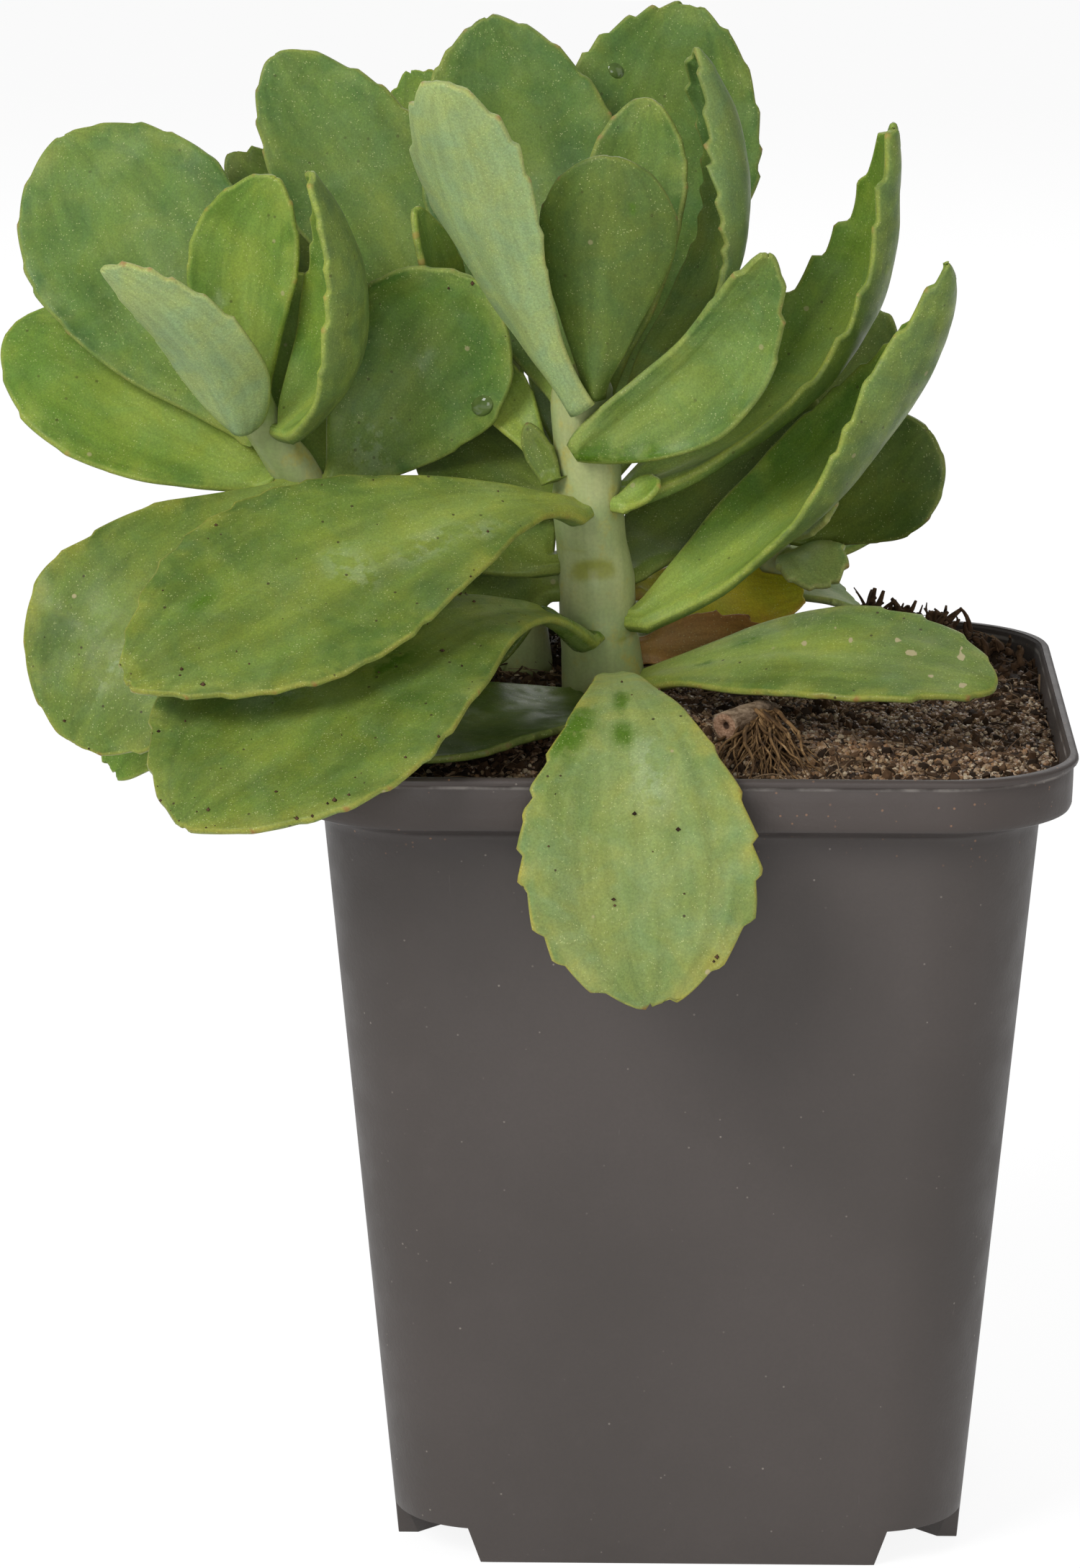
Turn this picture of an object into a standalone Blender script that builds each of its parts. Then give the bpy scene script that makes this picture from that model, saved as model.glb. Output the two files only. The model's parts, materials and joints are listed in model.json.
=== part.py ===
"""Potted stonecrop: a square nursery pot filled with soil, four fleshy stems and their leaves.

Units are metres, +Z is up. The origin is the middle of the pot's flat underside and the
front of the plant looks towards -Y. Plant sizes are typed in millimetres and multiplied by MM.
"""
import math
from collections import namedtuple

import bmesh
import bpy
from mathutils import Matrix, Vector

for old in list(bpy.data.objects):
    bpy.data.objects.remove(old, do_unlink=True)

MM = 0.001
GAP = 0.3                       # clearance between touching pieces, mm

# ---- pot, mm -------------------------------------------------------------------------------
POT_HEIGHT = 118.0
RIM_HALF = 55.0                 # outer half width over the bead
BAND_HALF = 54.2                # half width of the plain rim band
BAND_BOTTOM = 110.4
BEAD_BOTTOM = 116.6
STEP_BOTTOM = 109.0             # underside of the step that carries the rim band
BODY_TOP_HALF = 50.0
BODY_BOTTOM_HALF = 40.3
CORNER_RATIO = 0.34             # corner radius over half width
CORNER_SEGMENTS = 6
WALL = 1.0
RIM_WALL = 1.4
FLOOR = 1.2

RECESS_HEIGHT = 5.1             # the floor's corners stand this far off the ground
FOOT_HALF_BOTTOM = 28.0         # half width of the cross-shaped foot's arms, at the ground
FOOT_HALF_TOP = 29.8            # and where they meet the raised corners
NOTCH_SHOULDER = 9.4            # a raised corner runs this far along the wall, then slants inwards
NOTCH_REACH = 42.5              # and ends where x + y comes down to this
DRAIN_RADIUS = 3.0
DRAIN_PLACE = 33.4

# ---- soil, mm ------------------------------------------------------------------------------
SOIL_LEVEL = 115.6
SOIL_CELLS = 16
# (x, y, height, spread) of the low mounds on the soil
MOUNDS = [(30.0, 44.0, 4.6, 11.0), (8.0, 36.0, 2.2, 12.0), (-12.0, 0.0, 1.6, 13.0),
          (-34.0, 12.0, 1.8, 11.0), (-10.0, 44.0, 2.4, 14.0), (9.5, -22.5, 1.9, 9.0)]

# ---- stems, mm: centre line from the root up, radius at the root and at the top ----------------
Stem = namedtuple("Stem", "path radius_root radius_top")
STEMS = {
    "main": Stem([(-10, 1, 104), (-11.2, 0, 120), (-13, -2, 140), (-14.4, -4, 163)], 6.2, 4.3),
    "left": Stem([(-33, 8, 104), (-37, 8, 120), (-46, 6, 136), (-54, 3, 147), (-60, 0, 157),
                  (-61.8, -0.8, 161)], 4.0, 2.9),
    "back": Stem([(-22, 24, 104), (-24, 22, 125), (-26, 20, 145), (-27, 18, 165)], 4.2, 3.0),
    "right": Stem([(8, 30, 104), (10, 30, 118), (12, 28, 130), (14, 26, 141)], 4.0, 2.8),
}
STEM_SIDES_RESOLUTION = 4
STEM_STEPS = 5                  # points between two given centres
SOCKET_DEPTH = 12.0

# ---- leaves, mm and degrees ------------------------------------------------------------------
LEAF_THICKNESS = 1.8
LEAF_ROWS = 9                   # points from the stalk to the tip
LEAF_COLUMNS = 5                # points across the blade
TIP_STOP = 0.996                # the blade ends a little before its outline closes

# stem, height where it leaves the stem, side of the stem (0 = front, 90 = right, 180 = back),
# tip, blade width, facing = (turn, tilt) of the upper face, and the shape:
# bow lifts the middle of the blade, sweep pushes it sideways, peak moves that lift along the blade,
# cup and tip_cup curl the margins up at the base and at the tip, lean makes one half the wider,
# twist turns the blade about its own length, belly moves the widest place towards the tip,
# fullness rounds the outline, stalk is the half width at the stem, gap is the clearance there.
Leaf = namedtuple("Leaf", "stem height side tip width facing bow sweep peak cup tip_cup lean "
                          "twist belly fullness stalk gap tone")


def leaf(stem, height, side, tip, width, facing, bow=0.0, sweep=0.0, peak=0.5, cup=12.0,
         tip_cup=None, lean=0.0, twist=0.0, belly=1.4, fullness=0.55, stalk=3.0, gap=None,
         tone="green"):
    return Leaf(stem, height, side, tip, width, facing, bow, sweep, peak, cup,
                0.55 * cup if tip_cup is None else tip_cup, lean, twist, belly, fullness,
                stalk, gap, tone)


LEAVES = {
    # the rosette on top of the main stem
    "main_top_back_left": leaf("main", 159.8, -160, (-29, 25, 213), 30, (-5, 20), bow=-8, cup=14,
                               stalk=2.6),
    "main_top_back_right": leaf("main", 156, 155, (0.6, 40, 213.3), 32.2, (10, 15), bow=-8,
                                cup=14, belly=1.8),
    "main_top_left": leaf("main", 162, 0, (-33.5, -24, 209.5), 19.5, (150, 35), sweep=3, cup=25,
                          lean=0.05, belly=2.0, stalk=2.4, gap=2.6),
    "main_top_inner": leaf("main", 161, 150, (-5, 3, 204), 16, (-5, 25), cup=40, belly=1.5,
                           stalk=1.6, gap=1.6),
    "main_top_front": leaf("main", 163.5, 20, (-10, -14, 197.7), 20, (175, 20), cup=25, belly=1.8,
                           stalk=1.8, gap=0.6),
    "main_top_right": leaf("main", 161, 75, (1.5, 4, 211), 21, (-34, 20), bow=-12.5, sweep=2.4,
                           peak=0.64, cup=60, tip_cup=90, lean=0.45, twist=-40, belly=1.2,
                           stalk=2.0, gap=2.9),
    "main_right_cup": leaf("main", 155.6, -15, (12, -17, 184.7), 15.6, (25, 5), bow=-2, sweep=3.4,
                           cup=45, tip_cup=35, lean=0.58, belly=1.0, stalk=1.5, gap=2.4),
    # long folded leaves to the right
    "main_right_long": leaf("main", 147.5, 90, (29.8, 8, 200), 25, (-50, 35), bow=-16.4,
                            peak=0.58, cup=72, tip_cup=60, lean=-0.12, twist=-30, belly=1.0,
                            gap=1.5),
    "main_right_low": leaf("main", 129.5, 60, (37.3, -12, 182.3), 28.8, (-30, 45), bow=-11.9,
                           peak=0.68, cup=60, tip_cup=65, lean=0.05, twist=-60, belly=1.0,
                           fullness=0.75, stalk=2.6, gap=1.7),
    "main_right_dark": leaf("main", 135.5, 138, (17, 25, 160), 22.6, (-18, 36), bow=-3, cup=20,
                            belly=1.5, stalk=4.5),
    # leaves that lie over the soil and the rim
    "main_soil_right": leaf("main", 120, 65, (44, -26, 125), 23, (0, 65), bow=5, cup=8, belly=1.5),
    "main_front_hanging": leaf("main", 120.5, 10, (-4, -66, 89), 33, (0, 40), bow=23.2, peak=0.6,
                               cup=8, belly=3.1, fullness=0.56, stalk=3.2),
    "main_left_upper": leaf("main", 147, -20, (-76, -52, 129.8), 36, (-10, 50), bow=7.2, peak=0.2,
                            cup=10, belly=2.3, fullness=0.7, gap=1.7),
    "main_left_lower": leaf("main", 128.5, -20, (-67.6, -64, 113.0), 44, (-15, 60), bow=12,
                            peak=0.28, cup=10, belly=2.8, fullness=0.68, gap=1.8),
    "main_soil_left": leaf("main", 119.0, -45, (-38, -47, 118.8), 24, (5, 76), bow=0.3, cup=24,
                           belly=1.1, stalk=2.5),
    # small and shaded leaves close to the main stem
    "main_shade_top": leaf("main", 151, -50, (-22.3, -5, 158.5), 4.5, (-30, 35), cup=20,
                           belly=1.3, stalk=1.6, gap=1.8),
    "main_shade_middle": leaf("main", 146.3, -115, (-36, 11, 155), 21, (0, 55), cup=10,
                              stalk=2.6),
    "main_shade_low": leaf("main", 138, -80, (-36, 9, 147.3), 22, (0, 45), cup=10, belly=1.2,
                           stalk=2.6, gap=2.3),
    "main_shade_deep": leaf("main", 135, -95, (-38, 1, 127), 19, (-10, 15), gap=1.9),
    "main_bud_left": leaf("main", 154, -98, (-29.4, 8, 166), 8.2, (-10, 35), cup=15, stalk=1.8,
                          gap=2.2),
    "main_bud_right": leaf("main", 147, 50, (-3, -8, 150.8), 5, (0, 50), cup=25, belly=1.3,
                           stalk=1.8, gap=1.3),
    "main_yellow": leaf("main", 132.0, 134, (18, 22, 129.2), 12.8, (0, 42), bow=-2.2, cup=10,
                        stalk=2.4, gap=2.0, tone="yellow"),
    "main_withered": leaf("main", 123.2, 112, (14, 6.0, 123.8), 11.2, (0, 36), bow=0.8, cup=10,
                          stalk=2.2, tone="brown"),
    # the far side of the main stem
    "main_rear_low": leaf("main", 119, 165, (-6, 60, 124), 28, (0, 80), bow=7, cup=10, belly=1.6),
    "main_rear_high": leaf("main", 146, 185, (-8, 48, 182), 26, (-5, 45), bow=-5, cup=14,
                           belly=1.5),
    # the leaning left stem
    "left_outer_low": leaf("left", 150.8, -95, (-97.6, 13, 168.9), 27.2, (0, 40), bow=1,
                           belly=1.35, gap=1.9),
    "left_outer_high": leaf("left", 155.2, -150, (-90, 21, 196.1), 33, (0, 25), bow=1.4, cup=10,
                            belly=1.45),
    "left_front": leaf("left", 159, -30, (-81.4, -18, 182.3), 13.5, (170, 35), sweep=-4.2, cup=20,
                       belly=0.85, stalk=2.4),
    "left_inner": leaf("left", 159.6, 170, (-57.8, -0.3, 192.8), 17.5, (-15, 15), sweep=-3.4,
                       cup=32, belly=1.3, stalk=2.0),
    "left_folded": leaf("left", 156.5, 31, (-52.3, -17.8, 195.6), 27.6, (-70, 25), bow=-9.5,
                        peak=0.38, cup=64, belly=0.85, stalk=2.0, gap=2.2),
    "left_hanging": leaf("left", 149.4, -30, (-85.5, -26, 115.8), 34, (-10, 35), bow=8, belly=1.7,
                         stalk=2.6),
    "left_hanging_rear": leaf("left", 142.7, -70, (-82, -6, 107), 20, (-10, 35), bow=5,
                              stalk=2.6),
    "left_round": leaf("left", 146, 80, (-29.3, -2.5, 178.4), 27, (5, 20), bow=-3, stalk=2.6,
                       gap=1.4),
    "left_rear_high": leaf("left", 138, 180, (-57, 20, 176), 24, (0, 30), bow=-2, cup=14,
                           belly=1.5, stalk=2.6),
    "left_rear_low": leaf("left", 128, -100, (-86, 20, 128), 22, (20, 70), bow=3, cup=10,
                          belly=1.5, stalk=2.6),
    # the stem behind
    "back_high": leaf("back", 161.6, -150, (-60, 32, 206.6), 23, (-5, 20), cup=10),
    "back_middle": leaf("back", 154, -120, (-67, 34, 191.5), 20, (-5, 30), cup=10, stalk=2.6,
                        gap=1.5),
    "back_small": leaf("back", 158.6, -50, (-38.5, 4, 187.9), 11, (60, 20), cup=40, belly=1.3,
                       stalk=1.8, gap=1.8),
    "back_tall": leaf("back", 157, 165, (-41, 52, 202), 20, (-5, 20), cup=10, stalk=2.6),
    "back_rear_left": leaf("back", 122, -150, (-52, 60, 118.5), 28, (0, 80), bow=8, cup=10,
                           belly=1.6),
    "back_rear_middle": leaf("back", 134, 175, (-24, 68, 148), 26, (0, 60), bow=-3, cup=14,
                             belly=1.5),
    "back_side_left": leaf("back", 130, -120, (-64, 56, 140), 26, (40, 60), bow=-3, cup=14,
                           belly=1.5),
    # the short stem at the right
    "right_round": leaf("right", 137, 85, (35.8, 20, 153.2), 20.5, (0, 20), cup=10, belly=1.5,
                        stalk=2.4, gap=2.1),
    "right_upright": leaf("right", 139.5, 170, (28.6, 46, 167.6), 20, (-30, 20), cup=14),
    "right_bud": leaf("right", 138.4, 5, (22.5, 9.5, 147), 9, (0, 30), cup=14, stalk=1.6,
                      gap=1.5),
    "right_curled": leaf("right", 134.4, 48, (21.8, 13, 131.8), 10.5, (0, 55), bow=2, cup=14,
                         stalk=1.8, gap=1.5),
    "right_soil": leaf("right", 127, 110, (26, 34, 125), 13, (0, 75), bow=1, cup=14, stalk=2.0),
    "right_rear": leaf("right", 132, 130, (33.5, 60, 149), 22, (0, 45), bow=-3, cup=14,
                       belly=1.5),
}

# ---- a snapped woody twig on the soil, mm ------------------------------------------------------
TWIG_PATH = [(6.0, -28.5, 119.6), (9.0, -23.5, 119.6), (13.0, -16.5, 119.4)]
TWIG_RADIUS = 2.0

COLOURS = {
    "pot": (0.100, 0.082, 0.082), "soil": (0.052, 0.030, 0.018), "stem": (0.36, 0.44, 0.22),
    "green": (0.16, 0.27, 0.07), "yellow": (0.42, 0.42, 0.10), "brown": (0.26, 0.13, 0.05),
    "twig": (0.20, 0.13, 0.075),
}


# ---- helpers -----------------------------------------------------------------------------------
def new_collection(name):
    collection = bpy.data.collections.get(name) or bpy.data.collections.new(name)
    if collection.name not in bpy.context.scene.collection.children:
        bpy.context.scene.collection.children.link(collection)
    return collection


PARTS = new_collection("potted_stonecrop")
CUTTERS = new_collection("cutters")


def material(name, tone, roughness=0.5):
    mat = bpy.data.materials.new(name)
    mat.use_nodes = True
    shader = mat.node_tree.nodes["Principled BSDF"]
    shader.inputs["Base Color"].default_value = (*COLOURS[tone], 1.0)
    shader.inputs["Roughness"].default_value = roughness
    shader.inputs["Metallic"].default_value = 0.0
    return mat


def add_object(name, data, mat=None, collection=PARTS):
    obj = bpy.data.objects.new(name, data)
    collection.objects.link(obj)
    if mat:
        data.materials.append(mat)
    if collection is CUTTERS:
        obj.hide_render = True
        obj.display_type = "WIRE"
    return obj


def mesh_from(name, bm):
    mesh = bpy.data.meshes.new(name)
    bmesh.ops.recalc_face_normals(bm, faces=bm.faces)
    bm.to_mesh(mesh)
    bm.free()
    return mesh


def cut(obj, cutter, operation="DIFFERENCE"):
    mod = obj.modifiers.new(cutter.name, "BOOLEAN")
    mod.operation = operation
    mod.solver = "EXACT"
    mod.object = cutter


# ---- the pot -----------------------------------------------------------------------------------
def square_loft(name, stations):
    """A square with round corners, extruded through (half width, height) stations in mm."""
    bm = bmesh.new()
    bmesh.ops.create_grid(bm, x_segments=1, y_segments=1, size=1.0)
    bmesh.ops.bevel(bm, geom=bm.verts[:], affect="VERTICES", offset=CORNER_RATIO,
                    offset_type="OFFSET", segments=CORNER_SEGMENTS, profile=0.5)
    bm.faces.ensure_lookup_table()
    face = bm.faces[0]
    half, height = stations[0]
    bmesh.ops.scale(bm, vec=(half * MM, half * MM, 1.0), verts=face.verts)
    bmesh.ops.translate(bm, vec=(0.0, 0.0, height * MM), verts=face.verts)
    for next_half, next_height in stations[1:]:
        grown = bmesh.ops.extrude_face_region(bm, geom=[face])["geom"]
        bottom = face
        face = next(item for item in grown if isinstance(item, bmesh.types.BMFace))
        if half == stations[0][0] and height == stations[0][1]:
            keep = bottom
        else:
            bmesh.ops.delete(bm, geom=[bottom], context="FACES_ONLY")
        ratio = next_half / half
        bmesh.ops.scale(bm, vec=(ratio, ratio, 1.0), verts=face.verts)
        bmesh.ops.translate(bm, vec=(0.0, 0.0, (next_height - height) * MM), verts=face.verts)
        half, height = next_half, next_height
    return mesh_from(name, bm)


def corner_blocks(name, grow):
    """The four raised corners under the floor, grown by a wall thickness in mm."""
    bm = bmesh.new()
    outer = 60.0
    taper = (FOOT_HALF_TOP - FOOT_HALF_BOTTOM) / RECESS_HEIGHT
    shoulder, reach = NOTCH_SHOULDER + math.sqrt(2) * grow, NOTCH_REACH - math.sqrt(2) * grow
    rings = []
    for height in (-5.0, RECESS_HEIGHT + grow):
        inner = FOOT_HALF_BOTTOM + taper * min(height, RECESS_HEIGHT) - grow
        outline = [(outer, outer), (outer, inner), (inner + shoulder, inner),
                   ((reach + shoulder) / 2, (reach - shoulder) / 2)]
        outline += [(y, x) for x, y in reversed(outline[1:])]
        rings.append([bm.verts.new((x * MM, y * MM, height * MM)) for x, y in outline])
    low, high = rings
    bm.faces.new(high)
    bm.faces.new(low[::-1])
    for i in range(len(low)):
        k = (i + 1) % len(low)
        bm.faces.new((low[i], low[k], high[k], high[i]))
    bmesh.ops.recalc_face_normals(bm, faces=bm.faces)
    obj = add_object(name, mesh_from(name, bm), collection=CUTTERS)
    mirror = obj.modifiers.new("four corners", "MIRROR")
    mirror.use_axis = (True, True, False)
    mirror.merge_threshold = 0.0001
    return obj


def drain_holes():
    bm = bmesh.new()
    for x in (-DRAIN_PLACE, DRAIN_PLACE):
        for y in (-DRAIN_PLACE, DRAIN_PLACE):
            place = Matrix.Translation((x * MM, y * MM, RECESS_HEIGHT * MM))
            bmesh.ops.create_cone(bm, cap_ends=True, segments=16, radius1=DRAIN_RADIUS * MM,
                                  radius2=DRAIN_RADIUS * MM, depth=8.0 * MM, matrix=place)
    return add_object("drain_holes", mesh_from("drain_holes", bm), collection=CUTTERS)


def inner_half(height):
    """Half width inside the body wall at a height in mm."""
    share = (height - FLOOR) / (STEP_BOTTOM - FLOOR)
    return BODY_BOTTOM_HALF + (BODY_TOP_HALF - BODY_BOTTOM_HALF) * share - WALL


def build_pot():
    outside = [(BODY_BOTTOM_HALF, 0.0), (BODY_TOP_HALF, STEP_BOTTOM), (BAND_HALF, BAND_BOTTOM),
               (BAND_HALF + 0.2, BEAD_BOTTOM), (RIM_HALF, BEAD_BOTTOM + 0.4),
               (RIM_HALF, POT_HEIGHT - 0.4), (RIM_HALF - 0.4, POT_HEIGHT)]
    inside = [(inner_half(FLOOR), FLOOR), (inner_half(STEP_BOTTOM), STEP_BOTTOM + WALL),
              (BAND_HALF - RIM_WALL, BAND_BOTTOM + WALL), (RIM_HALF - RIM_WALL, POT_HEIGHT + 2.0)]
    pot = add_object("pot", square_loft("pot", outside), material("pot plastic", "pot", 0.55))
    cavity = add_object("pot cavity", square_loft("pot cavity", inside), collection=CUTTERS)
    cut(cavity, corner_blocks("raised corners inside", WALL))
    cut(pot, cavity)
    cut(pot, corner_blocks("raised corners", 0.0))
    cut(pot, drain_holes())
    return pot


# ---- the soil ----------------------------------------------------------------------------------
def soil_height(x, y):
    """Height of the soil's surface in mm at a place in mm."""
    lift = sum(rise * math.exp(-((x - cx) ** 2 + (y - cy) ** 2) / (2 * spread ** 2))
               for cx, cy, rise, spread in MOUNDS)
    return SOIL_LEVEL + lift


def soil_solid():
    """The filling: a lofted block whose top is a fine grid lifted into low mounds."""
    top_half = BAND_HALF - RIM_WALL - GAP
    stations = [(inner_half(FLOOR + GAP) - GAP, FLOOR + GAP),
                (inner_half(STEP_BOTTOM) - GAP, STEP_BOTTOM + WALL + GAP),
                (top_half, BAND_BOTTOM + WALL + GAP), (top_half, POT_HEIGHT + 12.0)]
    soil = add_object("soil", square_loft("soil", stations), material("potting soil", "soil", 0.95))
    bm = bmesh.new()
    bmesh.ops.create_grid(bm, x_segments=SOIL_CELLS, y_segments=SOIL_CELLS, size=58.0 * MM)
    surface = bm.faces[:]
    for vert in bm.verts:
        vert.co.z = soil_height(vert.co.x / MM, vert.co.y / MM) * MM
    lifted = bmesh.ops.extrude_face_region(bm, geom=surface)["geom"]
    for item in lifted:
        if isinstance(item, bmesh.types.BMVert):
            item.co.z = (POT_HEIGHT + 20.0) * MM
    air = add_object("air above the soil", mesh_from("air above the soil", bm), collection=CUTTERS)
    cut(soil, air)
    cut(soil, corner_blocks("raised corners under the soil", WALL + GAP))
    for name, stem in STEMS.items():
        cut(soil, stem_socket(name, stem))
    return soil


def stem_socket(name, stem):
    """The hole that a stem's root end stands in: a cylinder along its lowest stretch."""
    low, high = Vector(stem.path[0]), Vector(stem.path[1])
    along = (high - low).normalized()
    radius = stem.radius_root + 2 * GAP
    start, end = low - along * GAP, low + along * 26.0
    turn = Vector((0, 0, 1)).rotation_difference(along).to_matrix().to_4x4()
    bm = bmesh.new()
    bmesh.ops.create_cone(bm, cap_ends=True, segments=20, radius1=radius * MM,
                          radius2=radius * MM, depth=(end - start).length * MM)
    bmesh.ops.transform(bm, matrix=Matrix.Translation((start + end) * 0.5 * MM) @ turn,
                        verts=bm.verts[:])
    return add_object(name + " socket", mesh_from(name + " socket", bm), collection=CUTTERS)


# ---- stems -------------------------------------------------------------------------------------
def spline_points(path, steps):
    """Catmull-Rom points through a list of centres."""
    pts = [Vector(p) for p in path]
    pts = [pts[0] * 2 - pts[1]] + pts + [pts[-1] * 2 - pts[-2]]
    out = []
    for i in range(1, len(pts) - 2):
        a, b, c, d = pts[i - 1:i + 3]
        for k in range(steps):
            s = k / steps
            out.append(0.5 * (2 * b + (c - a) * s + (2 * a - 5 * b + 4 * c - d) * s ** 2
                              + (3 * b - a - 3 * c + d) * s ** 3))
    return out + [pts[-2]]


STEM_LINES = {name: spline_points(stem.path, 24) for name, stem in STEMS.items()}


def stem_centre(name, height):
    line = STEM_LINES[name]
    for low, high in zip(line, line[1:]):
        if low.z <= height <= high.z:
            return low.lerp(high, (height - low.z) / (high.z - low.z))
    return line[-1] if height > line[-1].z else line[0]


def stem_radius(name, height):
    stem = STEMS[name]
    low, high = stem.path[0][2], stem.path[-1][2]
    share = min(max((height - low) / (high - low), 0.0), 1.0)
    return stem.radius_root + (stem.radius_top - stem.radius_root) * share


def tube(name, points, radii, mat, resolution):
    """A round bar along points in mm, with closed ends."""
    curve = bpy.data.curves.new(name, "CURVE")
    curve.dimensions = "3D"
    curve.bevel_depth = 1.0 * MM
    curve.bevel_resolution = resolution
    curve.use_fill_caps = True
    spline = curve.splines.new("POLY")
    spline.points.add(len(points) - 1)
    for node, place, radius in zip(spline.points, points, radii):
        node.co = (*(Vector(place) * MM), 1.0)
        node.radius = radius
    return add_object(name, curve, mat)


def build_stems():
    for name, stem in STEMS.items():
        points = spline_points(stem.path, STEM_STEPS)
        radii = [stem_radius(name, p.z) for p in points]
        tube(name + "_stem", points, radii, material(name + " stem", "stem", 0.45),
             STEM_SIDES_RESOLUTION)


# ---- leaves ------------------------------------------------------------------------------------
def direction(turn, tilt):
    """Unit vector: turn 0 looks to the front (-Y), 90 to the right (+X); tilt is upwards."""
    a, e = math.radians(turn), math.radians(tilt)
    return Vector((math.sin(a) * math.cos(e), -math.cos(a) * math.cos(e), math.sin(e)))


def leaf_root(lf):
    """Where the blade starts, just clear of the stem, and the way its upper face looks."""
    centre = stem_centre(lf.stem, lf.height)
    axis = (stem_centre(lf.stem, lf.height + 1.5) - stem_centre(lf.stem, lf.height - 1.5))
    axis.normalize()
    tip = Vector(lf.tip)
    along = (tip - centre).normalized()
    face = direction(*lf.facing)
    face = (face - along * face.dot(along)).normalized()
    side = direction(lf.side, 0.0)
    side = (side - axis * side.dot(axis)).normalized()
    gap = lf.gap if lf.gap is not None else 0.6 + LEAF_THICKNESS / 2 * abs(face.dot(side))
    return centre + side * (stem_radius(lf.stem, lf.height) + gap), tip


def half_width(lf, t):
    """Half the blade's width in mm at t from the stem (0) to the tip (1)."""
    blade = lf.width / 2 * math.sin(math.pi * min(max(t, 0.0), 1.0) ** lf.belly) ** lf.fullness
    stalk = lf.stalk * (1.0 - t) ** 1.2
    return math.hypot(blade, stalk)


def leaf_point(lf, root, tip, t, u):
    """A place on the blade's middle surface: t runs along it, u from -1 to 1 across it."""
    chord = tip - root
    along = chord.normalized()
    face = direction(*lf.facing)
    face = (face - along * face.dot(along)).normalized()
    across = along.cross(face)
    lift = root + chord * lf.peak + face * (2 * lf.bow) + across * (2 * lf.sweep)
    centre = root * (1 - t) ** 2 + lift * (2 * t * (1 - t)) + tip * t ** 2
    tangent = ((lift - root) * (1 - t) + (tip - lift) * t).normalized()
    normal = (face - tangent * face.dot(tangent)).normalized()
    sideways = tangent.cross(normal)
    turn = math.radians(lf.twist) * t
    normal, sideways = (normal * math.cos(turn) + sideways * math.sin(turn),
                        sideways * math.cos(turn) - normal * math.sin(turn))
    rise = math.sin(math.pi * t)
    end = 0.55 * lf.cup if t < 0.5 else lf.tip_cup
    curl = math.radians(end + (lf.cup - end) * rise)
    width = half_width(lf, t)
    angle = curl * u * (1 + math.copysign(lf.lean, u) * rise if u else 1)
    return (centre + sideways * (width * math.sin(angle) / curl)
            + normal * (width * (1 - math.cos(angle)) / curl))


def build_leaf(name, lf, mat):
    """A grid bent into the blade, then thickened."""
    bm = bmesh.new()
    bmesh.ops.create_grid(bm, x_segments=LEAF_ROWS - 1, y_segments=LEAF_COLUMNS - 1, size=1.0)
    root, tip = leaf_root(lf)
    for vert in bm.verts:
        share = (vert.co.x + 1) / 2
        t = TIP_STOP * (1 - (1 - share) ** 1.6)
        vert.co = leaf_point(lf, root, tip, t, vert.co.y) * MM
    mesh = bpy.data.meshes.new(name)
    bm.to_mesh(mesh)
    bm.free()
    mesh.shade_smooth()
    obj = add_object(name, mesh, mat)
    thick = obj.modifiers.new("fleshy blade", "SOLIDIFY")
    thick.thickness = LEAF_THICKNESS * MM
    thick.offset = 0.0
    return obj


def build_leaves():
    for name, lf in LEAVES.items():
        build_leaf(name, lf, material(name, lf.tone, 0.42))


def build_twig():
    points = spline_points(TWIG_PATH, 4)
    tube("twig", points, [TWIG_RADIUS] * len(points), material("twig wood", "twig", 0.9), 2)


build_pot()
soil_solid()
build_stems()
build_leaves()
build_twig()
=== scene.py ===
"""Potted stonecrop: the finished leaves, stems, soil and pot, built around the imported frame.

Everything is in metres with +Z up and the origin under the middle of the pot. Plant and pot
sizes are typed in millimetres, as a gardener would measure them, and multiplied by MM.
"""

import json
import random
from collections import namedtuple
from math import cos, exp, pi, radians, sin, sqrt, tau

import bmesh
import bpy
import numpy as np
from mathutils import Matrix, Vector, noise

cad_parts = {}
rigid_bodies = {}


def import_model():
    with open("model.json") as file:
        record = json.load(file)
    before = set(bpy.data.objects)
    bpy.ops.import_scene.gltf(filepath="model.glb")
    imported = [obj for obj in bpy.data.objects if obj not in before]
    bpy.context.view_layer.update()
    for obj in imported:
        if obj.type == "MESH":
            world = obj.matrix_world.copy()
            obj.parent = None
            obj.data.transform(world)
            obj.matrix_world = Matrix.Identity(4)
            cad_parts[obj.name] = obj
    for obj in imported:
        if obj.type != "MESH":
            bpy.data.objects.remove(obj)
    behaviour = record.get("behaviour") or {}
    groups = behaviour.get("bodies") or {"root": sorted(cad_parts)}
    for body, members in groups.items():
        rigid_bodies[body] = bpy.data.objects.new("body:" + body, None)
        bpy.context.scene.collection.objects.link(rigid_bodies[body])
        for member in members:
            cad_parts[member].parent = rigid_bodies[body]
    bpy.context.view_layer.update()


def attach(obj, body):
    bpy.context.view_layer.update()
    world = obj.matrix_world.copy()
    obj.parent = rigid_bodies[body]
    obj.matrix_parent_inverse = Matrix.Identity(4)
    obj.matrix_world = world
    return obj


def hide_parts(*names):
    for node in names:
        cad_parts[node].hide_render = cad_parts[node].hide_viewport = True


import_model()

MM = 0.001
BODY = "root"

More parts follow.
